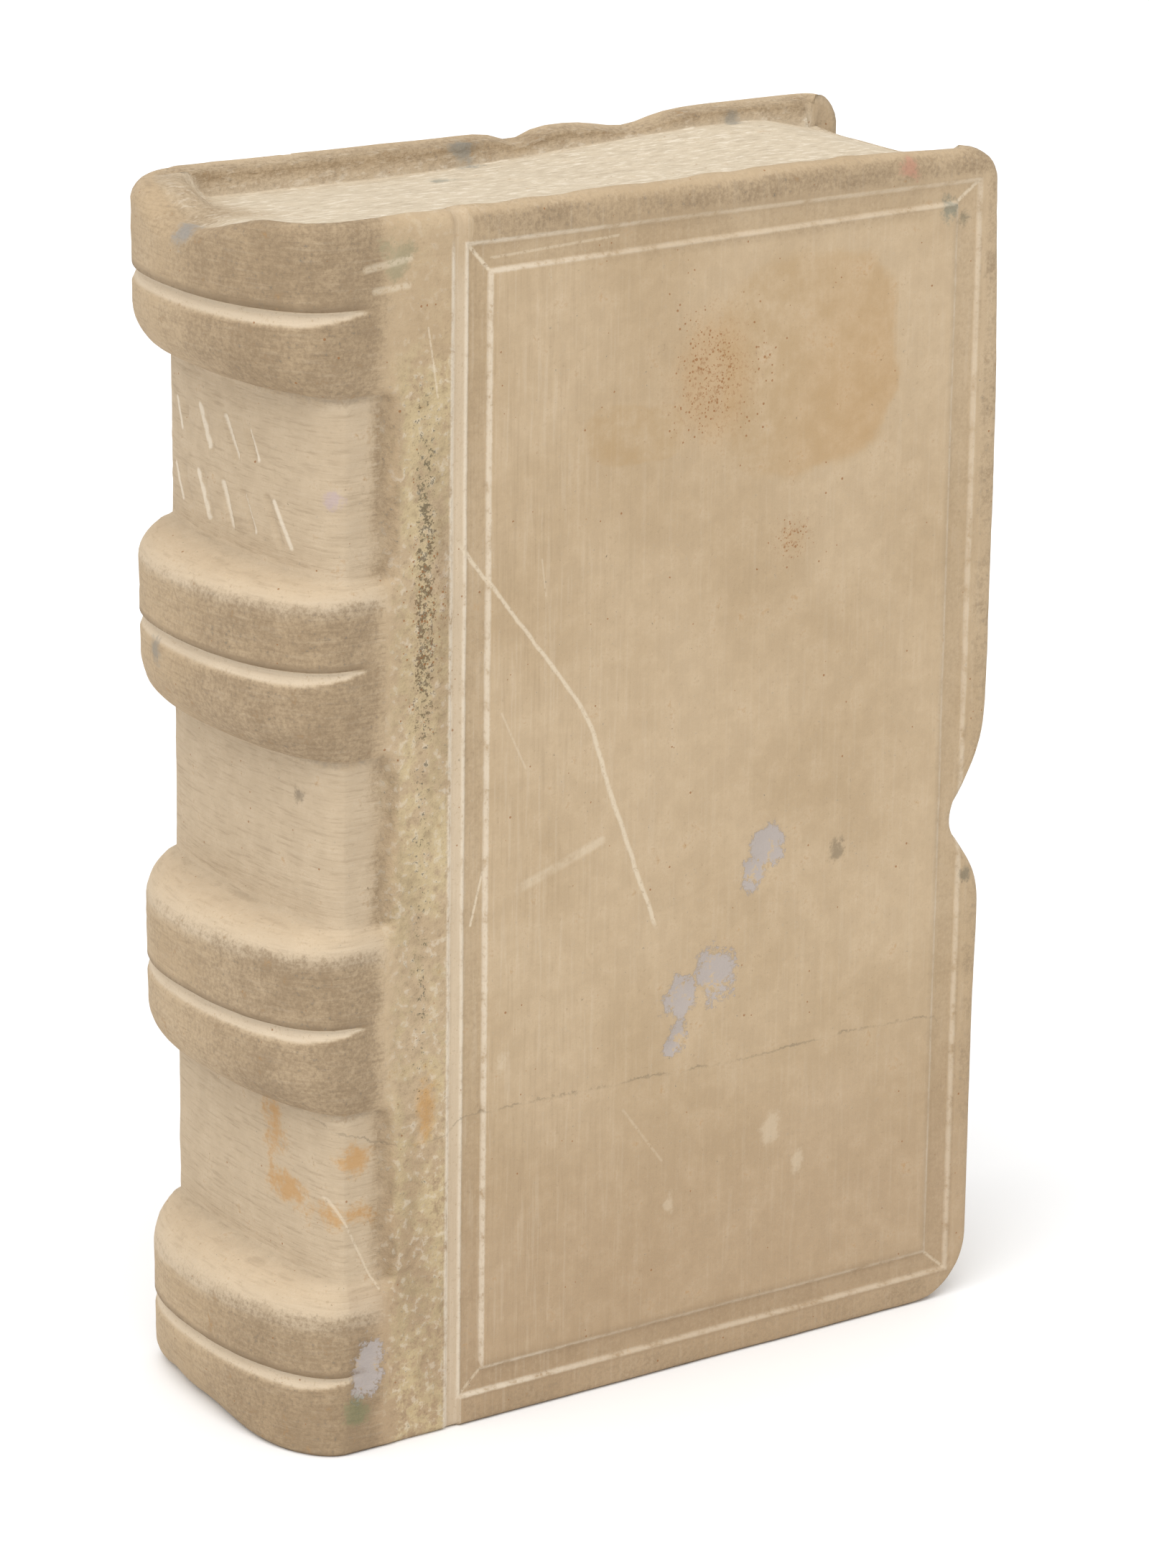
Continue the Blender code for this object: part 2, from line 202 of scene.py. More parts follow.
# Where the pitches change, and how far in the ring under the block lies as a share of its plan
SPINE_BULGE = 0.0085
SPINE_WIDENS_OVER_SHARES = (0.52, 0.72)
FORE_EDGE_PITCHES = (0.011, 0.006, 0.034, 0.006, 0.011)
ARRIS_STRIP = 0.0014
TOP_ROWS_START = 0.1217
TOP_ROW_SHARES = (0.2, 0.4, 0.6, 0.75, 0.87, 0.95, 1.0)
UNDERSIDE_INSET = 0.96

FRONT, FORE, BACK, SPINE, HEAD, UNDER = range(6)

# Where marks on the surface begin and end: along the boards (X), across (Y) and up (Z)
BAND_GRIME_ENDS_X = (-0.033, -0.0296)
BAND_GRIME_THINS_Y = (-0.012, 0.006)
FOOT_LINE_ENDS_X = (-0.0312, -0.0302)
STRIP_BEGINS_X = (-0.0322, -0.0288)
STRIP_ENDS_X = (HINGE_LEFT_X - 0.0003, HINGE_LEFT_X)
STRIP_THINS_Z = (0.108, 0.115)
MOSS_BEGINS_Z = (0.02, 0.05)
MOSS_ENDS_Z = (0.106, 0.113)
CHANNEL_THINS_Z = (0.1165, 0.1215)
HEAD_RIM_BEGINS_Z = (0.1213, 0.1219)
CREST_WORN_Z = (0.124, 0.1248)
FORE_RIM_BEGINS_X = (0.0412, 0.0424)
TAIL_RIM_ENDS_Z = (0.0026, 0.0034)
CROWN_ENDS_X = (-0.0375, -0.0325)
CROWN_BEGINS_Y = (-0.008, 0.001)
SHADE_ENDS_Z = (0.012, 0.042)
SHADE_RAGGED = 0.004

# Narrow marks: the middle and reach of two upright ones, and the reach of lines along an edge
SHOULDER_GRIME_X = (-0.0306, 0.0013)
MOSS_LINE_X = (-0.0268, 0.0012)
FOOT_LINE = 0.0003
# The reach of the painted shade above the grooves, and of the painted shadow beside the frame and how far
# aside it lies
GROOVE_SHADE = 0.00018
FRAME_SHADOW = 0.00018
FRAME_SHADOW_ASIDE = 0.00022

# Stained patches on the boards: middle along the board, middle height, and reach each way
MOSS_PATCH = (-0.0265, 0.088, 0.0014, 0.018)
WIDE_STAIN = (0.0195, 0.105, 0.011, 0.0113)
LOW_STAIN = (-0.002, 0.1003, 0.0056, 0.0036)
STAIN_CENTRE = (0.0078, 0.105, 0.0046, 0.0062)
STAIN_SPECKS = (0.008, 0.105, 0.004, 0.005)
LONE_STAIN = (0.0183, 0.0873, 0.002, 0.0022)
STRIP_SPECKS = (-0.0262, 0.085, 0.002, 0.01)
STAIN_DRIFT = 0.0016

# Rust: place and reach along each axis
RUST = (
    ((-0.037, -0.006, 0.0325), (0.004, 0.002, 0.0038)),
    ((-0.0365, -0.008, 0.0262), (0.004, 0.0034, 0.002)),
    ((-0.034, -0.016, 0.031), (0.002, 0.0016, 0.0022)),
    ((-0.0345, -0.014, 0.025), (0.004, 0.0034, 0.0015)),
    ((-0.0262, -0.0172, 0.035), (0.0014, 0.003, 0.0036)),
)

# Wear: its mean depths, where the crest is worn, and by mark its depth, unevenness and seed
BROAD_WEAR = 0.00006
CLOSE_WEAR = 0.00003
LEVEL_WEAR = 0.00004
CREST_WEAR = 0.0003
CREST_WEAR_Z = (0.1236, 0.125)
CREST_WEAR_BEGINS_X = (-0.035, -0.025)
CREST_WEAR_ENDS_X = (0.029, 0.038)
WEAR = (
    ("grime_and_shade", 0.00007, 0.0014, 3),
    ("strip", 0.00012, 0.0016, 4),
    ("lengthwise", 0.0001, (0.007, 0.0016, 0.002), 5),
)


def rise(start, end, value):
    """0 up to the start, 1 from the end on, and smooth between."""
    share = np.clip((value - start) / (end - start), 0.0, 1.0)
    return share * share * (3.0 - 2.0 * share)


def fall(start, end, value):
    """1 up to the start, 0 from the end on, and smooth between."""
    return 1.0 - rise(start, end, value)


def mix(first, second, share):
    return first + (second - first) * share


def hump(value, middle, reach):
    """1 at the middle, falling off like a bell."""
    return np.exp(-(((value - middle) / reach) ** 2))


def round_inset(distance, radius):
    """How far a quarter round has drawn back at a distance from the edge that it replaces."""
    inside = radius - np.clip(distance, 0.0, radius)
    return radius - np.sqrt(np.maximum(radius * radius - inside * inside, 0.0))


def grain(points, cell, seed):
    """Smooth seeded noise from -1 to 1, with features about a cell across. A cell may differ by axis."""
    places = points / np.asarray(cell)
    low = np.floor(places).astype(np.int64)
    within = places - low
    fade = within * within * (3.0 - 2.0 * within)
    total = np.zeros(len(points))
    for corner in range(8):
        step = np.array([corner & 1, (corner >> 1) & 1, (corner >> 2) & 1])
        weight = np.prod(np.where(step, fade, 1.0 - fade), axis=1)
        total += weight * lattice_value(low + step, seed)
    return total


def lattice_value(cells, seed):
    """A steady number from -1 to 1 for each whole-number cell."""
    mixed = cells[:, 0] * 73856093 ^ cells[:, 1] * 19349663 ^ cells[:, 2] * 83492791 ^ seed * 2654435761
    mixed = (mixed ^ (mixed >> 13)) * 1274126177
    return ((mixed ^ (mixed >> 16)) & 0xFFFF) / 32767.5 - 1.0


def rough(points, cell, seed, octaves=3):
    """Noise in several sizes, each half as wide and half as strong as the last."""
    total = np.zeros(len(points))
    for octave in range(octaves):
        total += grain(points, np.asarray(cell) / 2**octave, seed + octave) / 2**octave
    return total / 1.6


def half_thickness(x):
    share = (x - ARC_START_X) / (FORE_EDGE_X - ARC_START_X)
    return 0.5 * mix(THICKNESS_AT_SPINE, THICKNESS_AT_FORE_EDGE, share)


def graded(marks, pitches):
    """Places from the first mark to the last, with each stretch divided at its own pitch."""
    places = [marks[0]]
    for start, end, pitch in zip(marks, marks[1:], pitches):
        count = max(1, round((end - start) / pitch))
        places += [mix(start, end, (i + 1) / count) for i in range(count)]
    return np.array(places)


def frame_marks(edges):
    first, second = edges
    return (first - FRAME_WALL, first, second, second + FRAME_WALL)


def station_xs(strip, cover):
    """Columns along a board, from the spine to the fore edge."""
    hinge = (HINGE_LEFT_X - FRAME_WALL / 2, HINGE_LEFT_X + FRAME_WALL / 2)
    marks = (ARC_START_X, SHOULDER_FOOT_X, SHOULDER_TOP_X) + hinge
    marks += frame_marks(FRAME_LEFT_X) + frame_marks(FRAME_RIGHT_X) + (FORE_EDGE_X - ARRIS_STRIP, FORE_EDGE_X)
    sides = (FINE, CLOSE, FINE)
    pitches = (strip, CLOSE, strip, FINE, MEDIUM) + sides + (cover,) + sides + (strip, FINE * 1.5)
    return graded(marks, pitches)


def row_levels():
    """Rings up the block, each a height and the share of the way on from there to the crest."""
    marks = {0.0: 0.0002, 0.0008: CLOSE}
    marks.update(zip(frame_marks(FRAME_BOTTOM_Z), (FINE, CLOSE, FINE, WIDE)))
    marks.update(zip(frame_marks(FRAME_TOP_Z), (FINE, FINE, FINE, WIDE)))
    for band in BANDS:
        groove = band["groove"]
        marks.update({groove - GROOVE_FALL: CLOSE, groove: FINE, groove + GROOVE_RISE: WIDE})
        if "bottom_foot" in band:
            marks.update({band["bottom_foot"]: MEDIUM, band["bottom_flat"]: WIDE})
        if "top_foot" in band:
            marks.update({band["top_flat"]: MEDIUM, band["top_foot"]: WIDE})
    low_row, high_row = STROKE_ROWS[1], STROKE_ROWS[0]
    marks.update({low_row[0] - low_row[1] / 2 - CLOSE: CLOSE, high_row[0] + high_row[1] / 2 + CLOSE: WIDE})
    heights = sorted(marks)
    rows = graded(heights, [marks[height] for height in heights[:-1]])
    base = np.concatenate([rows, np.full(len(TOP_ROW_SHARES), TOP_ROWS_START)])
    share = np.concatenate([np.zeros(len(rows)), TOP_ROW_SHARES])
    return base[:, None], share[:, None]


def spine_shares():
    """Columns round the spine, evenly along its arc and closer together on the half with the strokes."""
    turn = np.linspace(0.0, math.pi, 2001)
    shares = 0.5 - 0.5 * np.cos(turn)
    across = np.abs(2.0 * shares - 1.0)
    out = (1.0 - across**SPINE_ROUNDNESS) ** (1.0 / SPINE_ROUNDNESS) * SPINE_BULGE
    along = (2.0 * shares - 1.0) * THICKNESS_AT_SPINE / 2
    steps = np.hypot(np.diff(out), np.diff(along))
    pitch = mix(SPINE_NEAR_PITCH, SPINE_FAR_PITCH, rise(*SPINE_WIDENS_OVER_SHARES, shares[1:]))
    count = np.concatenate([[0.0], np.cumsum(steps / pitch)])
    return np.interp(np.linspace(0.0, count[-1], round(count[-1]) + 1), count, shares)


def fore_shares():
    inner = (INNER_WALL_SHARE, INNER_FOOT_SHARE, 1.0 - INNER_FOOT_SHARE, 1.0 - INNER_WALL_SHARE)
    return graded((0.0,) + inner + (1.0,), FORE_EDGE_PITCHES)


def panel_share(z):
    """0 on a band's face, 1 on a sunk panel, and a quarter round between them."""
    deepest = np.ones_like(z)
    for band in BANDS:
        below = band.get("bottom_flat", -1.0)
        above = band.get("top_flat", 1.0)
        share = np.full_like(z, 1.0)
        if "bottom_foot" in band:
            share = np.where(z < below, np.clip((below - z) / (below - band["bottom_foot"]), 0.0, 1.0), share)
        if "top_foot" in band:
            share = np.where(z > above, np.clip((z - above) / (band["top_foot"] - above), 0.0, 1.0), share)
        share = np.where((z >= below) & (z <= above), 0.0, share)
        deepest = np.minimum(deepest, 1.0 - np.sqrt(1.0 - share * share))
    return deepest


def groove_share(z, taper):
    """1 at the bottom of a band's groove: a short steep side above it and a long slope below.
    The groove narrows to a point where the taper reaches 0."""
    total = np.zeros_like(z + taper)
    for band in BANDS:
        height = z - band["groove"]
        slope = GROOVE_FALL * np.maximum(taper, 0.05)
        side = np.where(height >= 0.0, 1.0 - height / GROOVE_RISE, 1.0 + height / slope)
        total = np.maximum(total, np.clip(side, 0.0, 1.0))
    return total * np.clip(2.5 * taper, 0.0, 1.0)


def groove_taper(x, y):
    """How wide the grooves are: 0 at their tips on the boards, 1 on most of the spine."""
    past = GROOVE_TIP_X - ARC_START_X
    arc = np.hypot(np.minimum(x - ARC_START_X, 0.0), half_thickness(ARC_START_X) - np.abs(y))
    reach = np.where(x >= ARC_START_X, GROOVE_TIP_X - x, past + arc)
    return np.clip(reach / GROOVE_TAPER, 0.0, 1.0)


def front_crest(x):
    return FRONT_CREST - FRONT_CREST_FALL * rise(*FRONT_CREST_FALLS_BETWEEN, x)


def back_crest(x):
    crest = mix(BACK_CREST_AT_SPINE, BACK_CREST_AT_FORE_EDGE, rise(*BACK_CREST_RISES_BETWEEN, x))
    for middle, reach, depth in BACK_CHIPS:
        crest = crest - depth * hump(x, middle, reach)
    return crest


def spine_crest(share):
    near = mix(FRONT_CREST, SPINE_APEX_CREST, rise(*RIM_SINKS_OVER_SHARES, share))
    far = mix(SPINE_APEX_CREST, HEAD_CAP_CREST, rise(*RIM_RISES_OVER_SHARES, share))
    return np.where(share < 0.5, near, far)


def fore_edge_x(z, front):
    """Where a board's fore edge lies at a height, with its rounded corners and the notch."""
    tail, head = (FRONT_TAIL_CORNER, FRONT_HEAD_CORNER) if front else (BACK_TAIL_CORNER, BACK_HEAD_CORNER)
    crest = front_crest(FORE_EDGE_X) if front else back_crest(FORE_EDGE_X)
    x = FORE_EDGE_X - round_inset(z, tail) - round_inset(crest - z, head)
    x = x - HEAD_NARROWER * rise(HEAD_NARROWS_FROM, FRONT_CREST, z)
    x = x - TAIL_NARROWER * fall(TAIL_NARROWS_TO, TAIL_NARROWS_FROM, z)
    if not front:
        return x - BACK_BOARD_SHORTER
    reach = np.where(z > NOTCH_Z, NOTCH_REACH_UP, NOTCH_REACH_DOWN)
    return x - NOTCH_DEPTH * hump(z, NOTCH_Z, reach)


def frame_distance(x, z):
    """Distance from the sunk strip of the rectangular frame, 0 in it. Its top narrows to the right."""
    x, z = np.broadcast_arrays(x, z)
    closing = FRAME_TOP_CLOSES * (x - FRAME_LEFT_X[1]) / (FRAME_RIGHT_X[0] - FRAME_LEFT_X[1])
    low, high = FRAME_TOP_Z[0] + closing, FRAME_TOP_Z[1] - closing
    outside = [FRAME_LEFT_X[0] - x, x - FRAME_RIGHT_X[1], FRAME_BOTTOM_Z[0] - z, z - high]
    inside = [x - FRAME_LEFT_X[1], FRAME_RIGHT_X[0] - x, z - FRAME_BOTTOM_Z[1], low - z]
    distance = np.maximum(np.maximum.reduce(outside), np.minimum.reduce(inside))
    return np.maximum(distance, 0.0)


def board_depth(x, z):
    """How deep the carving is on the face of a board."""
    depth = FRAME_DEPTH * np.clip(1.0 - frame_distance(x, z) / FRAME_WALL, 0.0, 1.0)
    hinge = rise(HINGE_LEFT_X - FRAME_WALL / 2, HINGE_LEFT_X + FRAME_WALL / 2, x)
    depth = np.where(x < FRAME_LEFT_X[0] - FRAME_WALL / 2, HINGE_DEPTH * hinge, depth)
    shoulder = np.clip((SHOULDER_TOP_X - x) / (SHOULDER_TOP_X - SHOULDER_FOOT_X), 0.0, 1.0)
    depth = depth + PANEL_DEPTH_AT_SHOULDER * shoulder * panel_share(z)
    return depth + 0.5 * GROOVE_DEPTH * groove_share(z, groove_taper(x, half_thickness(x)))


def board_points(stations, levels, front):
    """A board's face, one row of points for each level."""
    base, share = levels
    crest = front_crest(stations) if front else back_crest(stations)
    z = mix(base, crest[None, :], share)
    edge = fore_edge_x(z, front)
    squeeze_from = FRAME_RIGHT_X[0] - FRAME_WALL
    squeezed = squeeze_from + (stations - squeeze_from) * (edge - squeeze_from) / (FORE_EDGE_X - squeeze_from)
    x = np.where(stations > squeeze_from, squeezed, stations)
    head_radius = BOARD_TOP_RADIUS
    if front:
        rounding = rise(ARC_START_X, HINGE_LEFT_X, x)
        head_radius = mix(SPINE_HEAD_NEAR_RADIUS, BOARD_TOP_RADIUS, rounding)
    depth = board_depth(x, z) + round_inset(z, BOARD_TAIL_RADIUS) + round_inset(crest - z, head_radius)
    depth = depth + round_inset(edge - x, FORE_ARRIS_RADIUS)
    y = half_thickness(x) - depth
    return np.stack([x, -y if front else y, z], axis=-1)


def page_head(x, share):
    """Height of the pages' head, which falls towards the back board and at the worn fore corner."""
    foot = mix(PAGE_HEAD_AT_SPINE_FOOT, PAGE_HEAD_AT_FORE_FOOT, rise(*PAGE_HEAD_RISES_BETWEEN, x))
    height = mix(front_crest(x) - PAGE_HEAD_BELOW_CREST, foot, share / (1.0 - INNER_FOOT_SHARE))
    corner = rise(*PAGE_CORNER_FALLS_BETWEEN, x) * rise(0.0, PAGE_CORNER_FULL_BY_SHARE, share)
    return height - PAGE_CORNER_FALL * corner


def wall_rise(share):
    """0 on the pages and 1 on a board's top, with its rounded inner wall between them."""
    wall = np.clip((INNER_FOOT_SHARE - share) / (INNER_FOOT_SHARE - INNER_WALL_SHARE), 0.0, 1.0)
    return np.sin(0.5 * math.pi * wall)


def fore_edge_points(shares, levels, front_corner, back_corner):
    """The two boards' edges, and the hollow edge of the pages between them."""
    base, up = levels
    blend = front_corner[:, None, :] + (back_corner - front_corner)[:, None, :] * shares[None, :, None]
    x, _, z = np.moveaxis(blend, -1, 0)
    inner = 1.0 - 2.0 * INNER_WALL_SHARE
    front_wall = (front_corner[:, 1:2] - FORE_ARRIS_RADIUS) * inner
    back_wall = (back_corner[:, 1:2] + FORE_ARRIS_RADIUS) * inner
    y = mix(front_wall, back_wall, (shares - INNER_WALL_SHARE) / inner)
    near_edge = mix(front_corner[:, 1:2], front_wall, shares / INNER_WALL_SHARE)
    far_edge = mix(back_corner[:, 1:2], back_wall, (1.0 - shares) / INNER_WALL_SHARE)
    y = np.where(shares < INNER_WALL_SHARE, near_edge, np.where(shares > 1.0 - INNER_WALL_SHARE, far_edge, y))
    across = np.abs(2.0 * shares - 1.0)
    hollow = FORE_EDGE_X - PAGE_HOLLOW_DEPTH + PAGE_HOLLOW_RISE * across**3
    pages = np.minimum(hollow[None, :], x - PAGE_EDGE_CLEARANCE)
    page_z = np.where(up > 0.0, mix(base, page_head(hollow, shares)[None, :], up), z)
    near, far = wall_rise(shares), wall_rise(1.0 - shares)
    x = mix(mix(pages, front_corner[:, :1], near), back_corner[:, :1], far)
    z = mix(page_z, back_corner[:, 2:], far)
    return np.stack([x, y, z], axis=-1)


def strokes():
    """The shallow cuts on the top panel, all leaning one way and never meeting: place, height, half
    length and lean."""
    for row, (middle, length, first, last, count) in enumerate(STROKE_ROWS):
        for i in range(count):
            place = mix(first, last, (i + 0.18 * math.sin(5.1 * i + 2.0 * row)) / (count - 1))
            half = 0.5 * length * (0.65 + 0.35 * abs(math.sin(2.1 * i + 1.3 * row)))
            yield place, middle, half, STROKE_LEAN + 0.07 * math.sin(1.7 * i + row)


def stroke_depth(y, z):
    """1 at the bottom of the strokes, 0 outside them."""
    total = np.zeros_like(z)
    for place, middle, half, lean in strokes():
        along = np.clip((z - middle) * math.cos(lean) + (y - place) * math.sin(lean), -half, half)
        distance = np.hypot(y - place - along * math.sin(lean), z - middle - along * math.cos(lean))
        total = np.maximum(total, np.clip(1.0 - (distance / STROKE_HALF_WIDTH) ** 2, 0.0, 1.0))
    return total


def spine_points(shares, levels):
    """The round spine, from the front board (0) to the back board (1)."""
    base, up = levels
    across = (2.0 * shares - 1.0)[None, :]
    outward = (1.0 - np.abs(across) ** SPINE_ROUNDNESS) ** (1.0 / SPINE_ROUNDNESS)
    crest = spine_crest(shares)[None, :]
    z = mix(base, crest, up)
    head_radius = mix(SPINE_HEAD_NEAR_RADIUS, SPINE_HEAD_FAR_RADIUS, rise(0.3, 0.6, shares))[None, :]
    rounding = rise(*SPINE_TAIL_ROUNDS_OVER_SHARES, shares)
    rounding = (rounding * np.minimum((1.0 - shares) / SPINE_TAIL_ROUND_ENDS_WITHIN, 1.0))[None, :]
    tail_radius = mix(BOARD_TAIL_RADIUS, SPINE_TAIL_ROUND_DEPTH, rounding)
    tail_height = mix(BOARD_TAIL_RADIUS, SPINE_TAIL_ROUND_HEIGHT, rounding)
    deepest = PANEL_DEPTH_AT_APEX + PANEL_DEPTH_GAIN * z / FRONT_CREST
    depth = mix(PANEL_DEPTH_AT_SHOULDER, deepest, outward) * panel_share(z)
    round_x = ARC_START_X - (ARC_START_X - SPINE_APEX_X) * outward
    taper = groove_taper(round_x, half_thickness(ARC_START_X) * across)
    depth = depth + GROOVE_DEPTH * mix(0.5, 1.0, outward) * groove_share(z, taper)
    depth = depth + round_inset(z * tail_radius / tail_height, tail_radius)
    depth = depth + round_inset(crest - z, head_radius)
    reach_x = ARC_START_X - SPINE_APEX_X + SPINE_LEAN * z / FRONT_CREST
    reach_y = half_thickness(ARC_START_X)
    depth = depth + STROKE_DEPTH * stroke_depth(reach_y * across + 0.0 * z, z)
    steepness = SPINE_ROUNDNESS - 1.0
    inward_x = outward**steepness / reach_x
    inward_y = -np.sign(across) * np.abs(across) ** steepness / reach_y
    length = np.hypot(inward_x, inward_y)
    x = ARC_START_X - reach_x * outward + depth * inward_x / length
    y = reach_y * across + depth * inward_y / length
    return np.stack([x, y, z], axis=-1)


def head_height(x, share, spine_x, unevenness):
    """Height of the head between the crests: the pages, the back board's top and the spine's cap."""
    board = back_crest(x) - BACK_BOARD_TOP_FALL * (1.0 - share) / INNER_WALL_SHARE
    pages = page_head(x, share)
    inward = x - spine_x + unevenness
    rim = fall(0.0, HEAD_CAP_WIDTH, inward)
    near = mix(pages, spine_crest(share), rim)
    cap = fall(HEAD_CAP_WIDTH, HEAD_CAP_WIDTH + HEAD_CAP_SLOPE, inward)
    far = mix(pages, HEAD_CAP_CREST, cap)
    inner = mix(near, far, rise(0.5, 0.75, share))
    return mix(inner, board, wall_rise(1.0 - share))


def head_reach(x):
    """How far the flat of the head reaches to the front and to the back."""
    return half_thickness(np.maximum(x, ARC_START_X)) - BOARD_TOP_RADIUS


def head_samples(front_line, spine_line):
    """Points inside the head, in plan, with lines that hold the back board's inner wall and top."""
    samples = []
    middle = 0.5 * (INNER_WALL_SHARE + INNER_FOOT_SHARE)
    lines = (INNER_FOOT_SHARE + 0.016, INNER_FOOT_SHARE, middle, INNER_WALL_SHARE, 0.5 * INNER_WALL_SHARE)
    for x in np.arange(spine_line[:, 0].min() + HEAD_PITCH, FORE_EDGE_X, HEAD_PITCH):
        reach = head_reach(x)
        walls = [reach * (1.0 - 2.0 * share) for share in lines]
        ys = list(np.arange(-reach + HEAD_PITCH, walls[0] - HEAD_PITCH / 2, HEAD_PITCH)) + walls
        samples += [(x, y) for y in ys]
    samples = np.array(samples)
    low = np.interp(samples[:, 0], front_line[:, 0], front_line[:, 1]) + HEAD_PITCH / 2
    spine_x = np.interp(samples[:, 1], spine_line[:, 1], spine_line[:, 0]) + HEAD_PITCH / 2
    return samples[(samples[:, 1] > low) & (samples[:, 0] > spine_x)]


def inside_ring(samples, ring, clearance):
    """Which samples lie inside the closed ring, in plan, and clear of its line."""
    start, end = ring, np.roll(ring, -1, axis=0)
    inside = np.zeros(len(samples), bool)
    nearest = np.full(len(samples), 1.0)
    for a, b in zip(start, end):
        crosses = (a[1] > samples[:, 1]) != (b[1] > samples[:, 1])
        if a[1] != b[1]:
            at = a[0] + (samples[:, 1] - a[1]) * (b[0] - a[0]) / (b[1] - a[1])
            inside ^= crosses & (samples[:, 0] < at)
        nearest = np.minimum(nearest, np.hypot(*(samples - a).T))
    return inside & (nearest > clearance)


def build_lattice():
    """Every point of the block, its faces, and which side each point belongs to."""
    levels = row_levels()
    front_xs, back_xs = station_xs(MEDIUM, WIDE), station_xs(WIDE, COARSE)
    front = board_points(front_xs, levels, True)
    back = board_points(back_xs, levels, False)
    fore = fore_edge_points(fore_shares()[1:-1], levels, front[:, -1], back[:, -1])
    spine = spine_points(spine_shares()[1:-1], levels)
    rings = np.concatenate([front, fore, back[:, ::-1], spine[:, ::-1]], axis=1)
    faces = ((FRONT, front), (FORE, fore), (BACK, back), (SPINE, spine))
    sides = np.concatenate([np.full(face.shape[1], name) for name, face in faces])
    rows, columns = rings.shape[:2]
    points = rings.reshape(-1, 3)
    index = np.arange(rows * columns).reshape(rows, columns)
    following = np.roll(index, -1, axis=1)
    quads = np.stack([index[:-1], following[:-1], following[1:], index[1:]], axis=-1).reshape(-1, 4)
    side = np.tile(sides, rows)

    foot = points[index[0]]
    inset = foot.mean(axis=0) + (foot - foot.mean(axis=0)) * UNDERSIDE_INSET
    under = len(points) + np.arange(columns)
    under_quads = np.stack([under, np.roll(under, -1), following[0], index[0]], axis=-1)
    points = np.concatenate([points, inset])
    quads = np.concatenate([quads, under_quads])
    side = np.concatenate([side, np.full(columns, UNDER)])

    top = points[index[-1]]
    spine_line = top[sides == SPINE][::-1]
    samples = head_samples(front[-1], spine_line)
    samples = samples[inside_ring(samples, top[:, :2], HEAD_PITCH / 3)]
    share = np.clip(0.5 + 0.5 * samples[:, 1] / head_reach(samples[:, 0]), 0.0, 1.0)
    spine_x = np.interp(samples[:, 1], spine_line[:, 1], spine_line[:, 0])
    flat = np.column_stack([samples, np.zeros(len(samples))])
    heights = head_height(samples[:, 0], share, spine_x, 0.0014 * rough(flat, 0.0045, 51))
    plan = [Vector(p) for p in np.concatenate([top[:, :2], samples])]
    _, _, triangles, origins, _, _ = delaunay_2d_cdt(plan, [], [list(range(columns))], 1, 1e-7)
    numbers = np.concatenate([index[-1], len(points) + np.arange(len(samples))])
    cap = [[int(numbers[origins[v][0]]) for v in face] for face in triangles]
    points = np.concatenate([points, np.column_stack([samples, heights])])
    side = np.concatenate([side, np.full(len(samples), HEAD)])
    return points, quads, cap, under[::-1], side


def point_normals(points, quads, cap):
    """Outward directions of a mesh's points, each the sum over its faces."""
    normals = np.zeros_like(points)
    for faces in (quads[:, [0, 1, 2]], quads[:, [0, 2, 3]], np.array(cap)):
        a, b, c = (points[faces[:, i]] for i in range(3))
        face_normals = np.cross(b - a, c - a)
        for i in range(3):
            np.add.at(normals, faces[:, i], face_normals)
    return normals / np.maximum(np.linalg.norm(normals, axis=1, keepdims=True), 1e-12)


def flake_field(points):
    """1 in the small chips, fading at their edges."""
    field = np.zeros(len(points))
    for x, z, half_width, half_height in FLAKES:
        reach = np.hypot((points[:, 0] - x) / half_width, (points[:, 2] - z) / half_height)
        field = np.maximum(field, fall(0.6, 1.15, reach))
    return field


def blot(points, place, reach):
    """A soft patch about a place, 1 at its middle."""
    return np.exp(-np.sum(((points - np.array(place)) / np.array(reach)) ** 2, axis=1))


def patch(points, place, squareness=2):
    """A patch on a board's face, with a sharper edge the squarer it is."""
    x, z, reach_x, reach_z = place
    offset = np.abs((points[:, 0] - x) / reach_x) ** squareness
    offset += np.abs((points[:, 2] - z) / reach_z) ** squareness
    return np.exp(-offset)


class Surface:
    """The lattice's points, the side that each belongs to, and its marks: what the surface is like
    there, as named values from 0 to 1 for the wear and the material to read."""

    def __init__(self, points, side):
        self.points = points
        self.x, self.y, self.z = points.T
        self.side = side
        self.on_front = (side == FRONT) * 1.0
        self.on_board = (side == FRONT) | (side == BACK)
        self.marks = {}

    def rough(self, cell, seed):
        return rough(self.points, cell, seed)

    def ragged_x(self, reach, cell, seed):
        return self.x + reach * self.rough(cell, seed)

    def add(self, name, values):
        """Brings a mark up to these values where it is lower."""
        self.marks[name] = np.maximum(self.marks.get(name, 0.0), values)


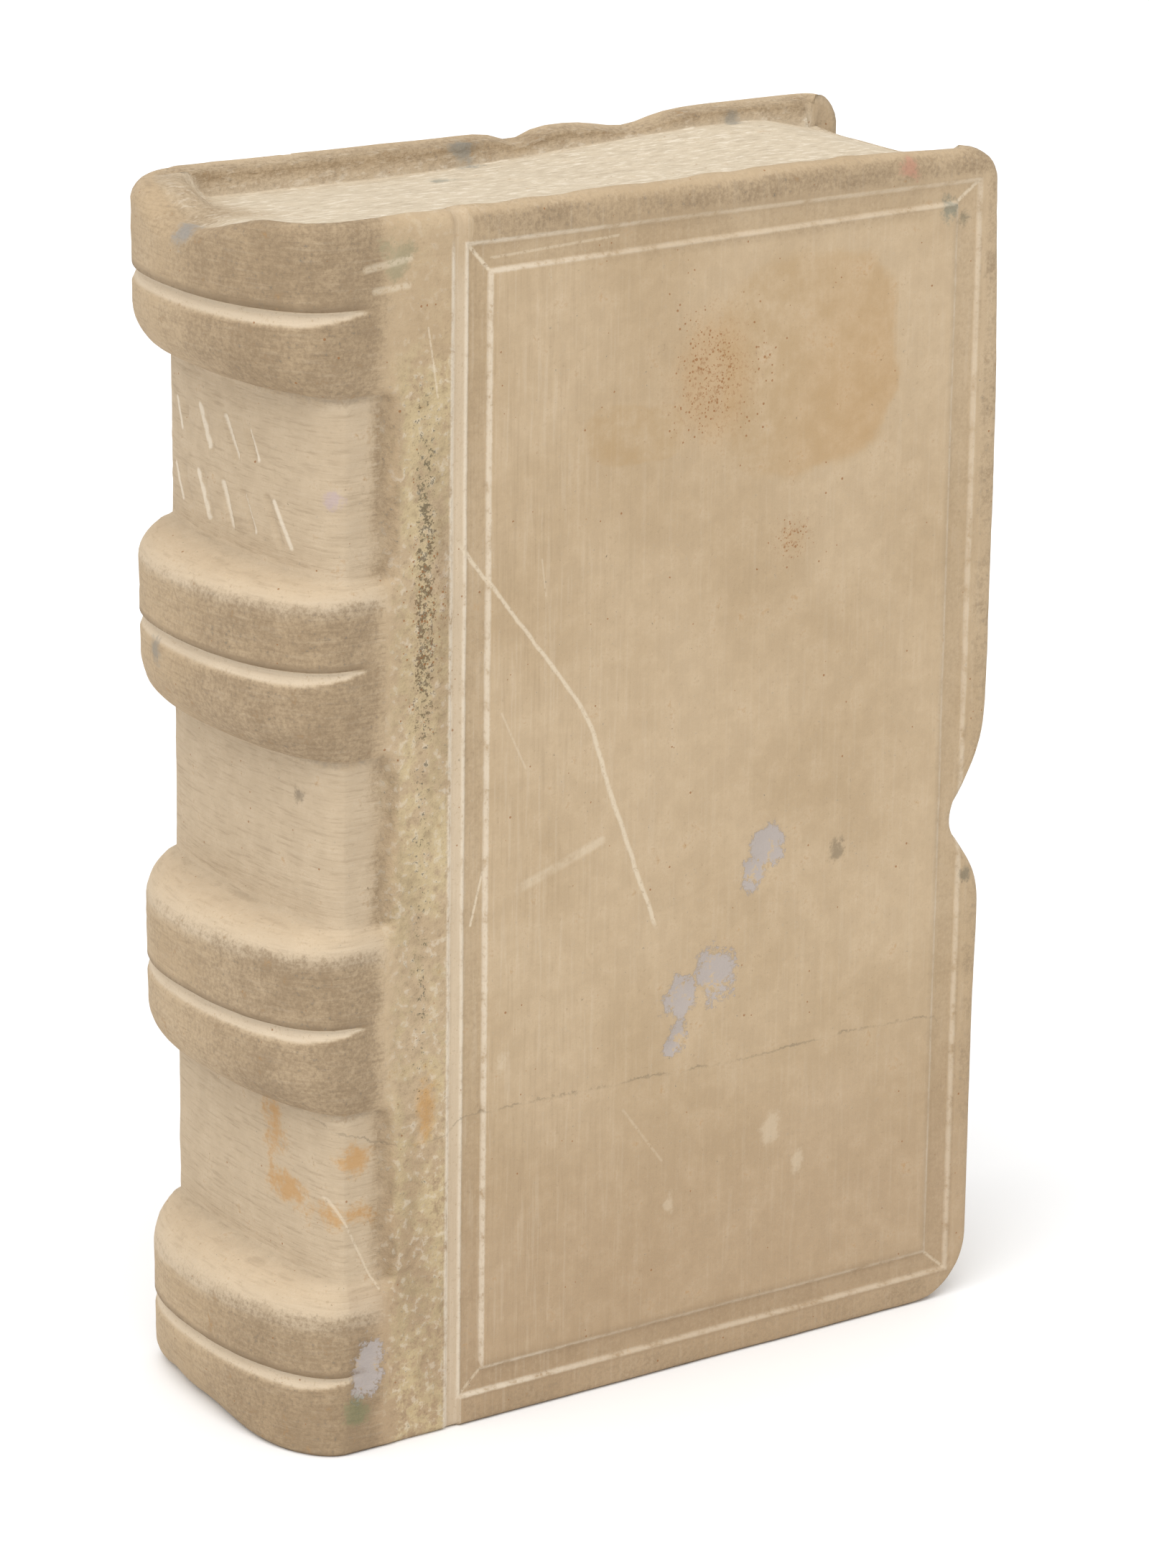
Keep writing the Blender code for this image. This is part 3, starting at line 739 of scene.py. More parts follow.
def band_marks(at):
    """Grime on the bands' faces and the paler panels between them; chalk with painted highlight on the bands'
    upward slopes and the grooves' lower slopes, and painted shade along the top of each groove.
    """
    ragged_x = at.ragged_x(0.001, (0.002, 0.002, 0.003), 16)
    left = np.where(at.on_board, fall(*BAND_GRIME_ENDS_X, ragged_x), (at.side == SPINE) * 1.0)
    panel = panel_share(at.z)
    groove = groove_share(at.z, groove_taper(at.x, at.y)) * left
    up_slope, below, foot_line = (np.zeros(len(at.points)) for _ in range(3))
    for band in BANDS:
        if "top_foot" in band:
            edge = band["top_flat"] + 0.00025 * at.rough(0.0012, 12)
            slope = rise(edge - 0.0003, edge + 0.0005, at.z) * (at.z < band["top_foot"])
            up_slope += slope * (1.0 - 0.55 * rise(band["top_flat"], band["top_foot"], at.z))
        if "bottom_foot" in band:
            below += (at.z >= band["bottom_foot"]) & (at.z < band["bottom_flat"])
            foot_line += hump(at.z, band["bottom_foot"] - FOOT_LINE, FOOT_LINE)
    face = np.where(below > 0.0, 1.0, fall(0.0, 0.15, panel))
    nearness = fall(*BAND_GRIME_THINS_Y, at.y)
    patchy = 0.5 + 0.5 * at.rough(0.005, 11)
    grime_and_shade = face * fall(0.05, 0.5, groove) * left
    at.add("grime_and_shade", grime_and_shade * mix(0.38, 0.88, nearness) * mix(0.6, 1.0, patchy))
    at.add("grime_and_shade", 0.62 * at.on_board * hump(ragged_x, *SHOULDER_GRIME_X) * rise(0.2, 0.9, panel))
    at.add("panel", left * np.where(below > 0.0, 0.0, rise(0.3, 0.9, panel)))
    # Painted highlight: the bands' upward slopes and the grooves' lower slopes are made paler, as light from
    # above would make them
    at.add("chalk_and_highlight", np.maximum(0.44 * left * up_slope, 0.58 * rise(0.1, 0.45, groove)))
    at.add("line", 0.55 * foot_line * left * fall(*FOOT_LINE_ENDS_X, at.x))
    # Painted shade: a dark line along the top of each groove's steep, downward-facing side
    above = np.max([hump(at.z, band["groove"] + GROOVE_RISE, GROOVE_SHADE) for band in BANDS], axis=0)
    at.add("shade_and_darker_strip", 0.8 * above * left * rise(0.0, 0.2, groove_taper(at.x, at.y)))


def board_marks(at):
    """The strip by the spine, the chalky hinge channel, a darker sunk frame, and painted shadow just outside
    its walls.
    """
    ragged_x = at.ragged_x(0.0012, (0.002, 0.002, 0.004), 17)
    inside = rise(*STRIP_BEGINS_X, ragged_x) * fall(*STRIP_ENDS_X, at.x)
    strip = at.on_board * inside * (1.0 - 0.75 * rise(*STRIP_THINS_Z, at.z))
    column = np.maximum(patch(at.points, MOSS_PATCH, 4), 0.6 * hump(at.x, *MOSS_LINE_X))
    column = column * fall(*MOSS_ENDS_Z, at.z) * rise(*MOSS_BEGINS_Z, at.z)
    at.add("strip", strip)
    at.add("moss", strip * np.maximum(column, 0.12))
    at.add("crust", strip * np.clip(0.5 + 0.9 * at.rough((0.003, 0.003, 0.01), 13), 0.0, 1.0))
    at.add("grime_and_shade", strip * np.clip(0.25 + 0.5 * at.rough((0.004, 0.004, 0.014), 14), 0.0, 1.0))
    channel = rise(HINGE_LEFT_X, HINGE_LEFT_X + 0.0002, at.x) * (at.x < FRAME_LEFT_X[0] - 0.0001)
    at.add("chalk_and_highlight", 0.38 * at.on_board * channel * (1.0 - 0.7 * rise(*CHANNEL_THINS_Z, at.z)))
    distance = frame_distance(at.x, at.z)
    cover = at.on_board * (at.x > FRAME_LEFT_X[0] - FRAME_WALL)
    # Painted shadow: a dark line just outside the frame's walls
    beside = hump(distance, FRAME_WALL + FRAME_SHADOW_ASIDE, FRAME_SHADOW) * (at.x > FRAME_LEFT_X[0])
    at.add("shade_and_darker_strip", 0.4 * cover * beside)
    # Slightly darker over the whole sunk strip
    at.add("shade_and_darker_strip", 0.2 * cover * (distance <= 0.0))


def rim_marks(at):
    """Handled, grimy rims, the pages' head, and the tops of the back board and the spine's cap; the back
    board's top is grimy and its inner wall gets painted shade.
    """
    patchy = 0.5 + 0.5 * at.rough((0.006, 0.006, 0.0025), 15)
    rim = rise(*HEAD_RIM_BEGINS_Z, at.z) * (1.0 - 0.7 * rise(*CREST_WORN_Z, at.z))
    rim = np.maximum(rim, 0.7 * rise(*FORE_RIM_BEGINS_X, at.x) * rise(0.0, 0.03, at.z))
    rim = np.maximum(rim, 0.7 * fall(*TAIL_RIM_ENDS_Z, at.z))
    right = at.x > FRAME_LEFT_X[0]
    at.add("grime_and_shade", 0.85 * rim * at.on_board * right * mix(0.2, 1.0, patchy))
    at.add("grime_and_shade", 0.4 * (at.side == FORE) * mix(0.3, 1.0, patchy))
    on_head = (at.side == HEAD) * 1.0
    across = at.y / head_reach(at.x)
    # Brown over the back board's top and inner wall: grime on the top, painted shade on the wall
    board_top = on_head * rise(0.795, 0.825, across)
    crown = on_head * fall(*CROWN_ENDS_X, at.ragged_x(0.0016, 0.0035, 52)) * rise(*CROWN_BEGINS_Y, at.y)
    brown = np.maximum(board_top, 0.8 * crown)
    at.add("grime_and_shade", brown * mix(0.4, 0.72, patchy))
    pages = (at.side == FORE) * (np.abs(across) < 0.82)
    # The pale head: pale pages, and on the top also painted light, as a lit top face is brighter
    at.add("head", on_head * (1.0 - 0.85 * brown))
    at.add("head", 0.7 * pages)
    at.marks["grime_and_shade"] = np.where(pages, 0.15, at.marks["grime_and_shade"])
    at.add("line", on_head * hump(across, 0.8, 0.014) * 0.5)


def stain_marks(at):
    """Stains, rust, small brown specks, and painted shade darkening the boards below the crack."""
    drift = np.stack([at.rough(0.006, 41), np.zeros(len(at.points)), at.rough(0.006, 43)], axis=1)
    drifted = at.points + STAIN_DRIFT * drift
    wide = patch(drifted, WIDE_STAIN, 3)
    at.add("stain", at.on_front * np.maximum(wide, patch(drifted, LOW_STAIN, 3)))
    right = rise(0.006, 0.029, at.x) * mix(1.0, 0.6, rise(0.1, 0.116, at.z))
    lone = patch(at.points, LONE_STAIN)
    centre = 1.5 * patch(at.points, STAIN_CENTRE)
    at.add("deep", at.on_front * np.maximum.reduce([right * rise(0.3, 0.45, wide), centre, 0.6 * lone]))
    peppered = [patch(at.points, STAIN_SPECKS), 0.8 * lone, 0.7 * patch(at.points, STRIP_SPECKS)]
    at.add("specks", at.on_front * np.maximum.reduce(peppered))
    broad = at.rough(0.012, 31)
    both = np.maximum(at.on_front, (at.side == BACK) * 0.6)
    # Painted shade: the boards darker towards the bottom, below the crack
    at.add("shade", both * fall(*SHADE_ENDS_Z, at.z + SHADE_RAGGED * broad))
    at.add("cloud", 0.5 + 0.5 * broad)
    at.add("rust", np.max([blot(at.points, *rust) for rust in RUST], axis=0))


def lay_marks(at):
    """All the marks, and which way the tools ran on each part of the surface."""
    band_marks(at)
    board_marks(at)
    rim_marks(at)
    stain_marks(at)
    at.add("upright", 1.0 * ((at.on_board & (at.x > HINGE_LEFT_X)) | (at.side == FORE)))
    at.add("level", 1.0 * ((at.side == SPINE) | (at.on_board & (at.x < SHOULDER_FOOT_X))))
    at.add("lengthwise", 1.0 * (at.side == HEAD))


def wear_depth(at):
    """How far wear and hand cutting have taken the surface in from the true lines."""
    depth = BROAD_WEAR * (1.0 + grain(at.points, 0.011, 1))
    depth += CLOSE_WEAR * (1.0 + grain(at.points, 0.003, 2))
    for name, deep, cell, seed in WEAR:
        depth += at.marks[name] * deep * (1.0 + at.rough(cell, seed))
    depth += at.marks["level"] * LEVEL_WEAR * (1.0 + grain(at.points, (0.006, 0.006, 0.0008), 6))
    crest = at.on_front * rise(*CREST_WEAR_Z, at.z) * rise(*CREST_WEAR_BEGINS_X, at.x)
    crest = crest * fall(*CREST_WEAR_ENDS_X, at.x)
    depth += crest * CREST_WEAR * np.clip(0.3 + at.rough(0.0035, 7), 0.0, 1.0)
    depth += at.on_front * FLAKE_DEPTH * flake_field(at.points + 0.0004 * at.rough(0.0012, 8)[:, None])
    return depth


def carved_book():
    points, quads, cap, underside, side = build_lattice()
    at = Surface(points, side)
    lay_marks(at)
    moved = points - point_normals(points, quads, cap) * wear_depth(at)[:, None]
    moved[:, 2] = np.where(points[:, 2] < 1e-6, 0.0, np.maximum(moved[:, 2], 0.0))
    mesh = bpy.data.meshes.new("carved_book")
    mesh.from_pydata(moved.tolist(), [], quads.tolist() + cap + [underside.tolist()])
    mesh.shade_smooth()
    for name, values in at.marks.items():
        layer = mesh.attributes.new(name, "FLOAT", "POINT")
        layer.data.foreach_set("value", np.clip(values, 0.0, 1.0).astype(np.float32))
    mesh.update()
    book = bpy.data.objects.new("carved_book", mesh)
    bpy.context.scene.collection.objects.link(book)
    print("triangles", len(quads) * 2 + len(cap) + len(underside) - 2)
    return book


def tone(red, green, blue):
    """The colour that looks like these 0 to 255 values on the front board, under the scene's light."""
    values = [channel / 255.0 for channel in (red, green, blue)]
    linear = [v / 12.92 if v <= 0.04045 else ((v + 0.055) / 1.055) ** 2.4 for v in values]
    return tuple(v / LIGHT_ON_FRONT for v in linear) + (1.0,)


# Colours of the stone and of what has stained it, and of painted light: painted highlight in the chalk tone,
# painted shade in the shade, dirt and grime tones, and painted light in the head tone
COVER_TONE = tone(204, 180, 147)
DEEP_TONE = tone(193, 168, 134)
# Painted shade, low on the boards
SHADE_TONE = tone(178, 151, 120)
PANEL_TONE = tone(203, 182, 153)
# Chalk, and painted highlight on upward slopes
CHALK_AND_HIGHLIGHT_TONE = tone(234, 218, 194)
# Pale pages, and on the head partly painted light
HEAD_TONE = tone(218, 202, 176)
LINE_TONE = tone(238, 225, 204)
# Dark tool marks and grit, and painted shade and shadow lines
DIRT_AND_SHADE_TONE = tone(132, 110, 84)
# Grime, and painted shade on the back board's inner wall
GRIME_AND_SHADE_TONE = tone(151, 129, 101)
SOOT_TONE = tone(96, 84, 68)
CRUST_TONE = tone(210, 190, 148)
MOSS_TONE = tone(88, 84, 64)
STAIN_TONE = tone(186, 155, 112)
DEEP_STAIN_TONE = tone(190, 150, 100)
SPECK_TONE = tone(150, 98, 50)
RUST_TONE = tone(194, 146, 84)
FLAKE_TONE = tone(184, 175, 171)
SCRATCH_TONE = tone(228, 211, 184)
CRACK_TONE = tone(128, 116, 94)

# Small coloured spots: place on the surface, reach and colour
SPOTS = (
    ((0.0319, -0.015, 0.1232), 0.001, tone(196, 136, 116)),
    ((0.0371, -0.015, 0.1187), 0.0009, tone(104, 124, 116)),
    ((0.0394, -0.0147, 0.1174), 0.0007, tone(90, 98, 84)),
    ((0.0418, -0.0145, 0.0474), 0.0007, tone(90, 92, 80)),
    ((-0.0036, 0.0122, 0.1238), 0.0014, tone(120, 128, 128)),
    ((-0.0104, 0.0058, 0.123), 0.0011, tone(126, 132, 124)),
    ((0.0284, 0.0111, 0.1243), 0.0009, tone(120, 122, 118)),
    ((-0.0439, -0.001, 0.1226), 0.0015, tone(140, 146, 150)),
    ((-0.0358, -0.0152, 0.0981), 0.0008, tone(190, 170, 176)),
    ((-0.0432, 0.0064, 0.079), 0.0011, tone(128, 130, 126)),
    ((-0.0372, -0.0109, 0.0675), 0.0007, tone(108, 98, 82)),
    ((-0.0343, -0.0171, 0.0045), 0.0012, tone(112, 124, 88)),
    ((0.0247, -0.0154, 0.0528), 0.0009, tone(120, 108, 88)),
    ((-0.03, -0.0172, 0.1215), 0.0016, tone(150, 146, 116)),
)

# Scratches: the long curved one as (z, x), the crack as (x, z), and straight ones by their two ends
# (x, z) with a half width and strength
CURVED_SCRATCH = ((0.0492, 0.0016), (0.0571, -0.0015), (0.0644, -0.0043), (0.0719, -0.007))
CURVED_SCRATCH += ((0.0751, -0.0091), (0.0838, -0.0159), (0.092, -0.0224))
CRACK = ((-0.0365, 0.0346), (-0.0339, 0.0333), (-0.0249, 0.0316), (-0.021, 0.0332))
CRACK += ((-0.0028, 0.033), (0.0166, 0.0325), (0.0272, 0.0328), (0.039, 0.0315))
STRAIGHT_SCRATCHES = (
    ((-0.0175, 0.0744), (-0.0146, 0.0684), 0.00018, 0.35),
    ((-0.0129, 0.0893), (-0.0124, 0.0856), 0.00016, 0.35),
    ((-0.0194, 0.0584), (-0.0208, 0.0531), 0.00022, 0.8),
    ((-0.0335, 0.1204), (-0.0285, 0.121), 0.00055, 0.5),
    ((-0.0325, 0.1182), (-0.0287, 0.1184), 0.0005, 0.5),
    ((-0.0216, 0.1213), (-0.0194, 0.1189), 0.0003, 0.85),
    ((0.0408, 0.1209), (0.0384, 0.1193), 0.0003, 0.75),
    ((-0.0216, 0.0035), (-0.0194, 0.0055), 0.00026, 0.5),
    ((0.0408, 0.0035), (0.0384, 0.0055), 0.00026, 0.5),
    ((-0.019, 0.1199), (-0.004, 0.1204), 0.00022, 0.4),
    ((-0.036, 0.0267), (-0.0314, 0.017), 0.0002, 0.6),
    ((-0.0264, 0.114), (-0.0252, 0.107), 0.00018, 0.6),
    ((-0.002, 0.03), (0.003, 0.0235), 0.00022, 0.25),
)
SCUFF = ((-0.0152, 0.056), (-0.0052, 0.0592), 0.00075)

# Pale flecks low on the front board: place along it, height and reach
PALE_FLECKS = (
    (0.0171, 0.0242, 0.0009),
    (0.0205, 0.0199, 0.0006),
    (-0.0172, 0.038, 0.0007),
    (0.004, 0.0185, 0.0005),
)

# Grit, mottling and tool marks: how large, and which way drawn out where the tools ran that way
GRIT_CELL = 0.00045
MOTTLE_CELL = 0.0024
TOOLING_CELL = 0.0009
TOOLING = (
    ("upright", 0.00042, (1.0, 1.0, 22.0)),
    ("level", 0.0003, (12.0, 12.0, 1.0)),
    ("lengthwise", 0.0006, (2.6, 1.0, 1.0)),
)
SMALL_DOT_CELL = 0.00034
LARGE_DOT_CELL = 0.0011

# Where the drawn marks lie, and over what distance they fade
FRONT_BEGINS_Y = (-0.011, -0.0125)
STREAKS_GROW_X = (0.004, -0.018)
FLAKE_Y = -0.0165
FLAKE_REACH_Y = 0.004
FLECK_Y = -0.0158
FLECK_REACH_Y = 0.002
PALE_LINE_WAVER = 0.0004
FRAME_LINE_FADES = (0.00038, 0.00006)
FRAME_LINE_GROWS_X = (0.0, -0.018)
HINGE_LINE_X = HINGE_LEFT_X - 0.0001
HINGE_LINE_FADES = (0.0004, 0.0001)
HINGE_LINE_TOP_Z = (0.1225, 0.1205)
STROKE_LINE = 0.00042
STROKES_BEGIN_X = (-0.0352, -0.036)
SCRATCH_WIDTH = 0.0004
SCRATCH_WANDER = 0.0006
CRACK_WIDTH = 0.00016
CRACK_WANDER = 0.0009

# The boards thin out towards the fore edge, and their faces begin where y with this slant does
BOARD_SLANT = (THICKNESS_AT_SPINE - THICKNESS_AT_FORE_EDGE) / 2.0 / (FORE_EDGE_X - ARC_START_X)
BOARD_FACE_BEGINS = (0.015, 0.0153)

# Heights of the finest relief: tool marks by place, grit, and what is sunk
TOOL_BUMP = 0.00004
STRIP_BUMP = 0.0002
HEAD_BUMP = 0.00016
SPINE_BUMP = 0.00003
GRIT_BUMP = 0.00005
GRIME_BUMP = 0.00009
SCRATCH_BUMP = 0.00005
FLAKE_BUMP = 0.00004


class Paint:
    """A material made by laying shader nodes one after another, and colours one over another."""

    def __init__(self, name):
        self.material = bpy.data.materials.new(name)
        self.material.use_nodes = True
        self.tree = self.material.node_tree
        self.shader = self.tree.nodes["Principled BSDF"]
        self.place = self.node("TexCoord").outputs["Object"]
        self.x, self.y, self.z = self.node("SeparateXYZ", {0: self.place}).outputs
        self.colour = None

    def node(self, kind, feeds=None, **settings):
        """A shader node with its settings, and what feeds its sockets."""
        made = self.tree.nodes.new("ShaderNode" + kind)
        for name, value in settings.items():
            setattr(made, name, value)
        for socket, value in (feeds or {}).items():
            self.feed(made.inputs[socket], value)
        return made

    def feed(self, socket, value):
        if isinstance(value, bpy.types.NodeSocket):
            self.tree.links.new(value, socket)
        else:
            socket.default_value = value

    def math(self, operation, *values):
        return self.node("Math", dict(enumerate(values)), operation=operation).outputs[0]

    def minus(self, first, second):
        return self.math("SUBTRACT", first, second)

    def times(self, first, *others):
        for other in others:
            first = self.math("MULTIPLY", first, other)
        return first

    def lift(self, value, factor, base):
        """A base, raised by a factor of a value."""
        return self.math("MULTIPLY_ADD", value, factor, base)

    def higher(self, first, second):
        return self.math("MAXIMUM", first, second)

    def apart(self, first, second):
        """How far one value is from another."""
        return self.math("ABSOLUTE", self.minus(first, second))

    def vector(self, operation, first, second=(0.0, 0.0, 0.0)):
        made = self.node("VectorMath", {0: first, 1: second}, operation=operation)
        single = operation in ("LENGTH", "DOT_PRODUCT", "DISTANCE")
        return made.outputs["Value" if single else "Vector"]

    def mark(self, name):
        return self.node("Attribute", attribute_name=name).outputs["Fac"]

    def flag(self, name):
        """A mark as plain yes or no, 1 or 0, with no blend between."""
        return self.math("GREATER_THAN", self.mark(name), 0.5)

    def step(self, value, low, high):
        """0 below low, 1 above high, smooth between; the other way round when low is the larger."""
        ends = (low, high, 0.0, 1.0) if low < high else (high, low, 1.0, 0.0)
        feeds = {"Value": value, **dict(zip(("From Min", "From Max", "To Min", "To Max"), ends))}
        return self.node("MapRange", feeds, interpolation_type="SMOOTHSTEP").outputs["Result"]

    def cells(self, cell, stretch=(1.0, 1.0, 1.0)):
        """Coordinates that count in cells of this size, drawn out along each axis by its stretch."""
        return self.vector("MULTIPLY", self.place, tuple(1.0 / (cell * s) for s in stretch))

    def noise(self, where, detail, roughness):
        feeds = {"Vector": where, "Scale": 1.0, "Detail": detail, "Roughness": roughness}
        return self.node("TexNoise", feeds).outputs["Fac"]

    def dots(self, cell, size, crowd):
        """Small dots, one at most in each cell, where crowd is high."""
        made = self.node("TexVoronoi", {"Vector": self.cells(cell), "Scale": 1.0})
        chance = self.node("SeparateColor", {0: made.outputs["Color"]}).outputs
        inside = self.math("LESS_THAN", made.outputs["Distance"], self.times(chance[0], size))
        return self.times(inside, self.math("LESS_THAN", chance[1], crowd))

    def either(self, share, first, second):
        """One set of coordinates, or the other where the share is 1."""
        return self.node("Mix", {"Factor": share, 4: first, 5: second}, data_type="VECTOR").outputs[1]

    def mix(self, share, first, second):
        return self.node("Mix", {"Factor": share, 6: first, 7: second}, data_type="RGBA").outputs[2]

    def coat(self, colour, strength, *shares):
        """Lays a colour over what is there, as strongly as its strength times all its shares."""
        share = self.times(*shares, strength) if strength < 1.0 else self.times(*shares)
        self.colour = self.mix(share, self.colour, colour)

    def ellipse(self, place, reach, ragged, soft):
        """1 inside a small patch with a ragged edge."""
        offset = self.vector("SUBTRACT", self.place, place)
        scaled = self.vector("MULTIPLY", offset, tuple(1.0 / r for r in reach))
        length = self.math("ADD", self.vector("LENGTH", scaled), ragged)
        return self.step(length, 1.0 + soft, 1.0 - soft)

    def segment(self, start, end, width, on_spine=False):
        """A straight mark between two places: (x, z) on the front board, or (y, z) on the spine."""
        keep = (0.0, 1.0, 1.0) if on_spine else (1.0, 0.0, 1.0)
        a, b = (Vector((place[0] * keep[0], place[0] * keep[1], place[1])) for place in (start, end))
        span = b - a
        offset = self.vector("SUBTRACT", self.vector("MULTIPLY", self.place, keep), tuple(a))
        along = self.vector("DOT_PRODUCT", offset, tuple(span / span.length_squared))
        along = self.node("Clamp", {"Value": along}).outputs[0]
        reached = self.node("VectorMath", {0: tuple(span), "Scale": along}, operation="SCALE")
        distance = self.vector("DISTANCE", offset, reached.outputs["Vector"])
        return self.step(distance, width, width * 0.25)

    def border(self, x, z, left, right, bottom, top):
        """Distance from the outline of an upright rectangle."""
        aside = self.minus(self.apart(x, (left + right) / 2), (right - left) / 2)
        over = self.minus(self.apart(z, (bottom + top) / 2), (top - bottom) / 2)
        return self.math("ABSOLUTE", self.higher(aside, over))

    def line(self, along, across, places, width):
        """A curved line: where it lies across, for each place along."""
        starts, offsets = zip(*places)
        low, high = min(starts), max(starts)
        left, right = min(offsets), max(offsets)
        made = self.node("FloatCurve", {"Value": self.math("DIVIDE", self.minus(along, low), high - low)})
        curve = made.mapping.curves[0]
        knots = sorted(((s - low) / (high - low), (o - left) / (right - left)) for s, o in places)
        curve.points[0].location, curve.points[1].location = knots[0], knots[-1]
        for knot in knots[1:-1]:
            curve.points.new(*knot)
        made.mapping.update()
        distance = self.apart(across, self.lift(made.outputs[0], right - left, left))
        margin = (high - low) * 0.02
        begun = self.step(along, low - margin, low + margin)
        ended = self.step(along, high + margin, high - margin)
        return self.times(self.step(distance, width, width * 0.3), begun, ended)


def lay_grains(paint):
    """The noises that the rest is drawn with: fine grit, broader mottling and the tools' marks."""
    paint.front = paint.step(paint.y, *FRONT_BEGINS_Y)
    paint.grit = paint.noise(paint.cells(GRIT_CELL), 4.0, 0.72)
    paint.mottle = paint.noise(paint.cells(MOTTLE_CELL), 4.0, 0.62)
    where = paint.cells(TOOLING_CELL)
    for name, cell, stretch in TOOLING:
        where = paint.either(paint.flag(name), where, paint.cells(cell, stretch))
    paint.tooling = paint.noise(where, 3.0, 0.6)
    paint.uneven = paint.minus(paint.grit, 0.5)
    paint.blotchy = paint.minus(paint.mottle, 0.5)
    paint.ragged = paint.lift(paint.blotchy, 1.6, paint.uneven)


def lay_ground(paint):
    """The bare stone: clouded covers, painted shade low on the boards, paler panels, a pale head that is
    partly painted light on its top, chalk with painted highlight on the upward slopes, and the crusty strip.
    """
    paint.colour = paint.mix(paint.step(paint.mark("cloud"), 0.25, 0.85), COVER_TONE, DEEP_TONE)
    # Painted shade low on the boards
    paint.coat(SHADE_TONE, 0.55, paint.mark("shade"))
    paint.coat(PANEL_TONE, 1.0, paint.mark("panel"))
    # Pale pages, and on the head partly painted light on its top
    paint.coat(HEAD_TONE, 1.0, paint.mark("head"))
    paint.coat(DIRT_AND_SHADE_TONE, 0.1, paint.step(paint.mottle, 0.6, 0.38))
    paint.coat(LINE_TONE, 0.08, paint.step(paint.mottle, 0.52, 0.72))
    # Chalk in the hinge channel, and painted highlight on the upward slopes and in the grooves
    paint.coat(CHALK_AND_HIGHLIGHT_TONE, 1.0, paint.mark("chalk_and_highlight"), paint.step(paint.grit, 0.1, 0.5))
    crust = paint.lift(paint.ragged, 2.2, paint.mark("crust"))
    paint.coat(CRUST_TONE, 0.75, paint.step(crust, 0.1, 0.9), paint.mark("strip"))


def lay_grime_and_shade(paint):
    """Brown grime with sooty grains in it, and painted shade on the back board's inner wall."""
    grime_and_shade_share = paint.lift(paint.uneven, 1.5, paint.lift(paint.blotchy, 0.9, paint.mark("grime_and_shade")))
    paint.coat(GRIME_AND_SHADE_TONE, 0.9, paint.step(grime_and_shade_share, 0.06, 0.96))
    sooty = paint.step(paint.grit, 0.58, 0.7)
    paint.coat(SOOT_TONE, 0.62, sooty, paint.step(paint.mark("grime_and_shade"), 0.3, 0.8))


def lay_tool_marks(paint):
    """Dark and pale streaks and grains, stronger to the left, on the strip, the spine and the head."""
    leftward = paint.times(paint.step(paint.x, *STREAKS_GROW_X), paint.mark("upright"), 0.1)
    bare = paint.lift(paint.mark("chalk_and_highlight"), -1.2, 1.0)
    dark = paint.lift(paint.mark("level"), 0.22, paint.math("ADD", leftward, 0.04))
    dark = paint.lift(paint.mark("strip"), 0.3, dark)
    dark = paint.lift(paint.mark("head"), 0.22, dark)
    paint.coat(DIRT_AND_SHADE_TONE, 1.0, paint.step(paint.tooling, 0.5, 0.28), dark, bare)
    pale = paint.lift(paint.mark("head"), 0.8, paint.lift(leftward, 0.5, 0.05))
    pale = paint.lift(paint.mark("strip"), 0.3, pale)
    paint.coat(LINE_TONE, 1.0, paint.step(paint.tooling, 0.54, 0.66), pale)
    paint.coat(DIRT_AND_SHADE_TONE, 0.25, paint.step(paint.grit, 0.42, 0.25))
    paint.coat(LINE_TONE, 0.25, paint.step(paint.grit, 0.58, 0.78))


def lay_stains(paint):
    """The brown stains, rust, the dark growth on the strip, and the specks."""
    stain = paint.step(paint.lift(paint.ragged, 0.16, paint.mark("stain")), 0.3, 0.44)
    paint.coat(STAIN_TONE, 0.62, stain, paint.step(paint.mottle, 0.8, 0.2))
    deep = paint.lift(paint.ragged, 0.5, paint.mark("deep"))
    paint.coat(DEEP_STAIN_TONE, 0.36, paint.step(deep, 0.15, 1.1))
    rusty = paint.lift(paint.ragged, 1.3, paint.mark("rust"))
    paint.coat(RUST_TONE, 0.7, paint.step(rusty, 0.25, 1.0))
    moss = paint.lift(paint.mark("moss"), 0.2, paint.grit)
    paint.coat(MOSS_TONE, 0.75, paint.step(moss, 0.66, 0.76))
    crowd = paint.lift(paint.mark("specks"), paint.step(paint.mottle, 0.12, 0.4), 0.006)
    dots = paint.higher(paint.dots(SMALL_DOT_CELL, 0.42, crowd), paint.dots(LARGE_DOT_CELL, 0.15, crowd))
    peppered = paint.times(paint.step(paint.grit, 0.53, 0.62), paint.mark("specks"), 0.9)
    paint.coat(SPECK_TONE, 0.7, paint.higher(dots, peppered))


def lay_chips_and_spots(paint):
    """The small chips down to grey stone, the coloured spots and the pale flecks."""
    edge = paint.times(paint.ragged, 1.5)
    paint.flake = None
    for x, z, half_width, half_height in FLAKES:
        chip = paint.ellipse((x, FLAKE_Y, z), (half_width, FLAKE_REACH_Y, half_height), edge, 0.16)
        paint.flake = chip if paint.flake is None else paint.higher(paint.flake, chip)
    flake_colour = paint.mix(paint.step(paint.ragged, 0.02, 0.22), FLAKE_TONE, COVER_TONE)
    paint.coat(flake_colour, 0.85, paint.flake)
    for place, reach, spot_tone in SPOTS:
        paint.coat(spot_tone, 0.55, paint.ellipse(place, (reach,) * 3, paint.times(paint.ragged, 2.4), 0.6))
    for x, z, reach in PALE_FLECKS:
        place, reach = (x, FLECK_Y, z), (reach, FLECK_REACH_Y, reach * 1.6)
        paint.coat(SCRATCH_TONE, 0.35, paint.ellipse(place, reach, paint.times(paint.ragged, 2.0), 0.5))


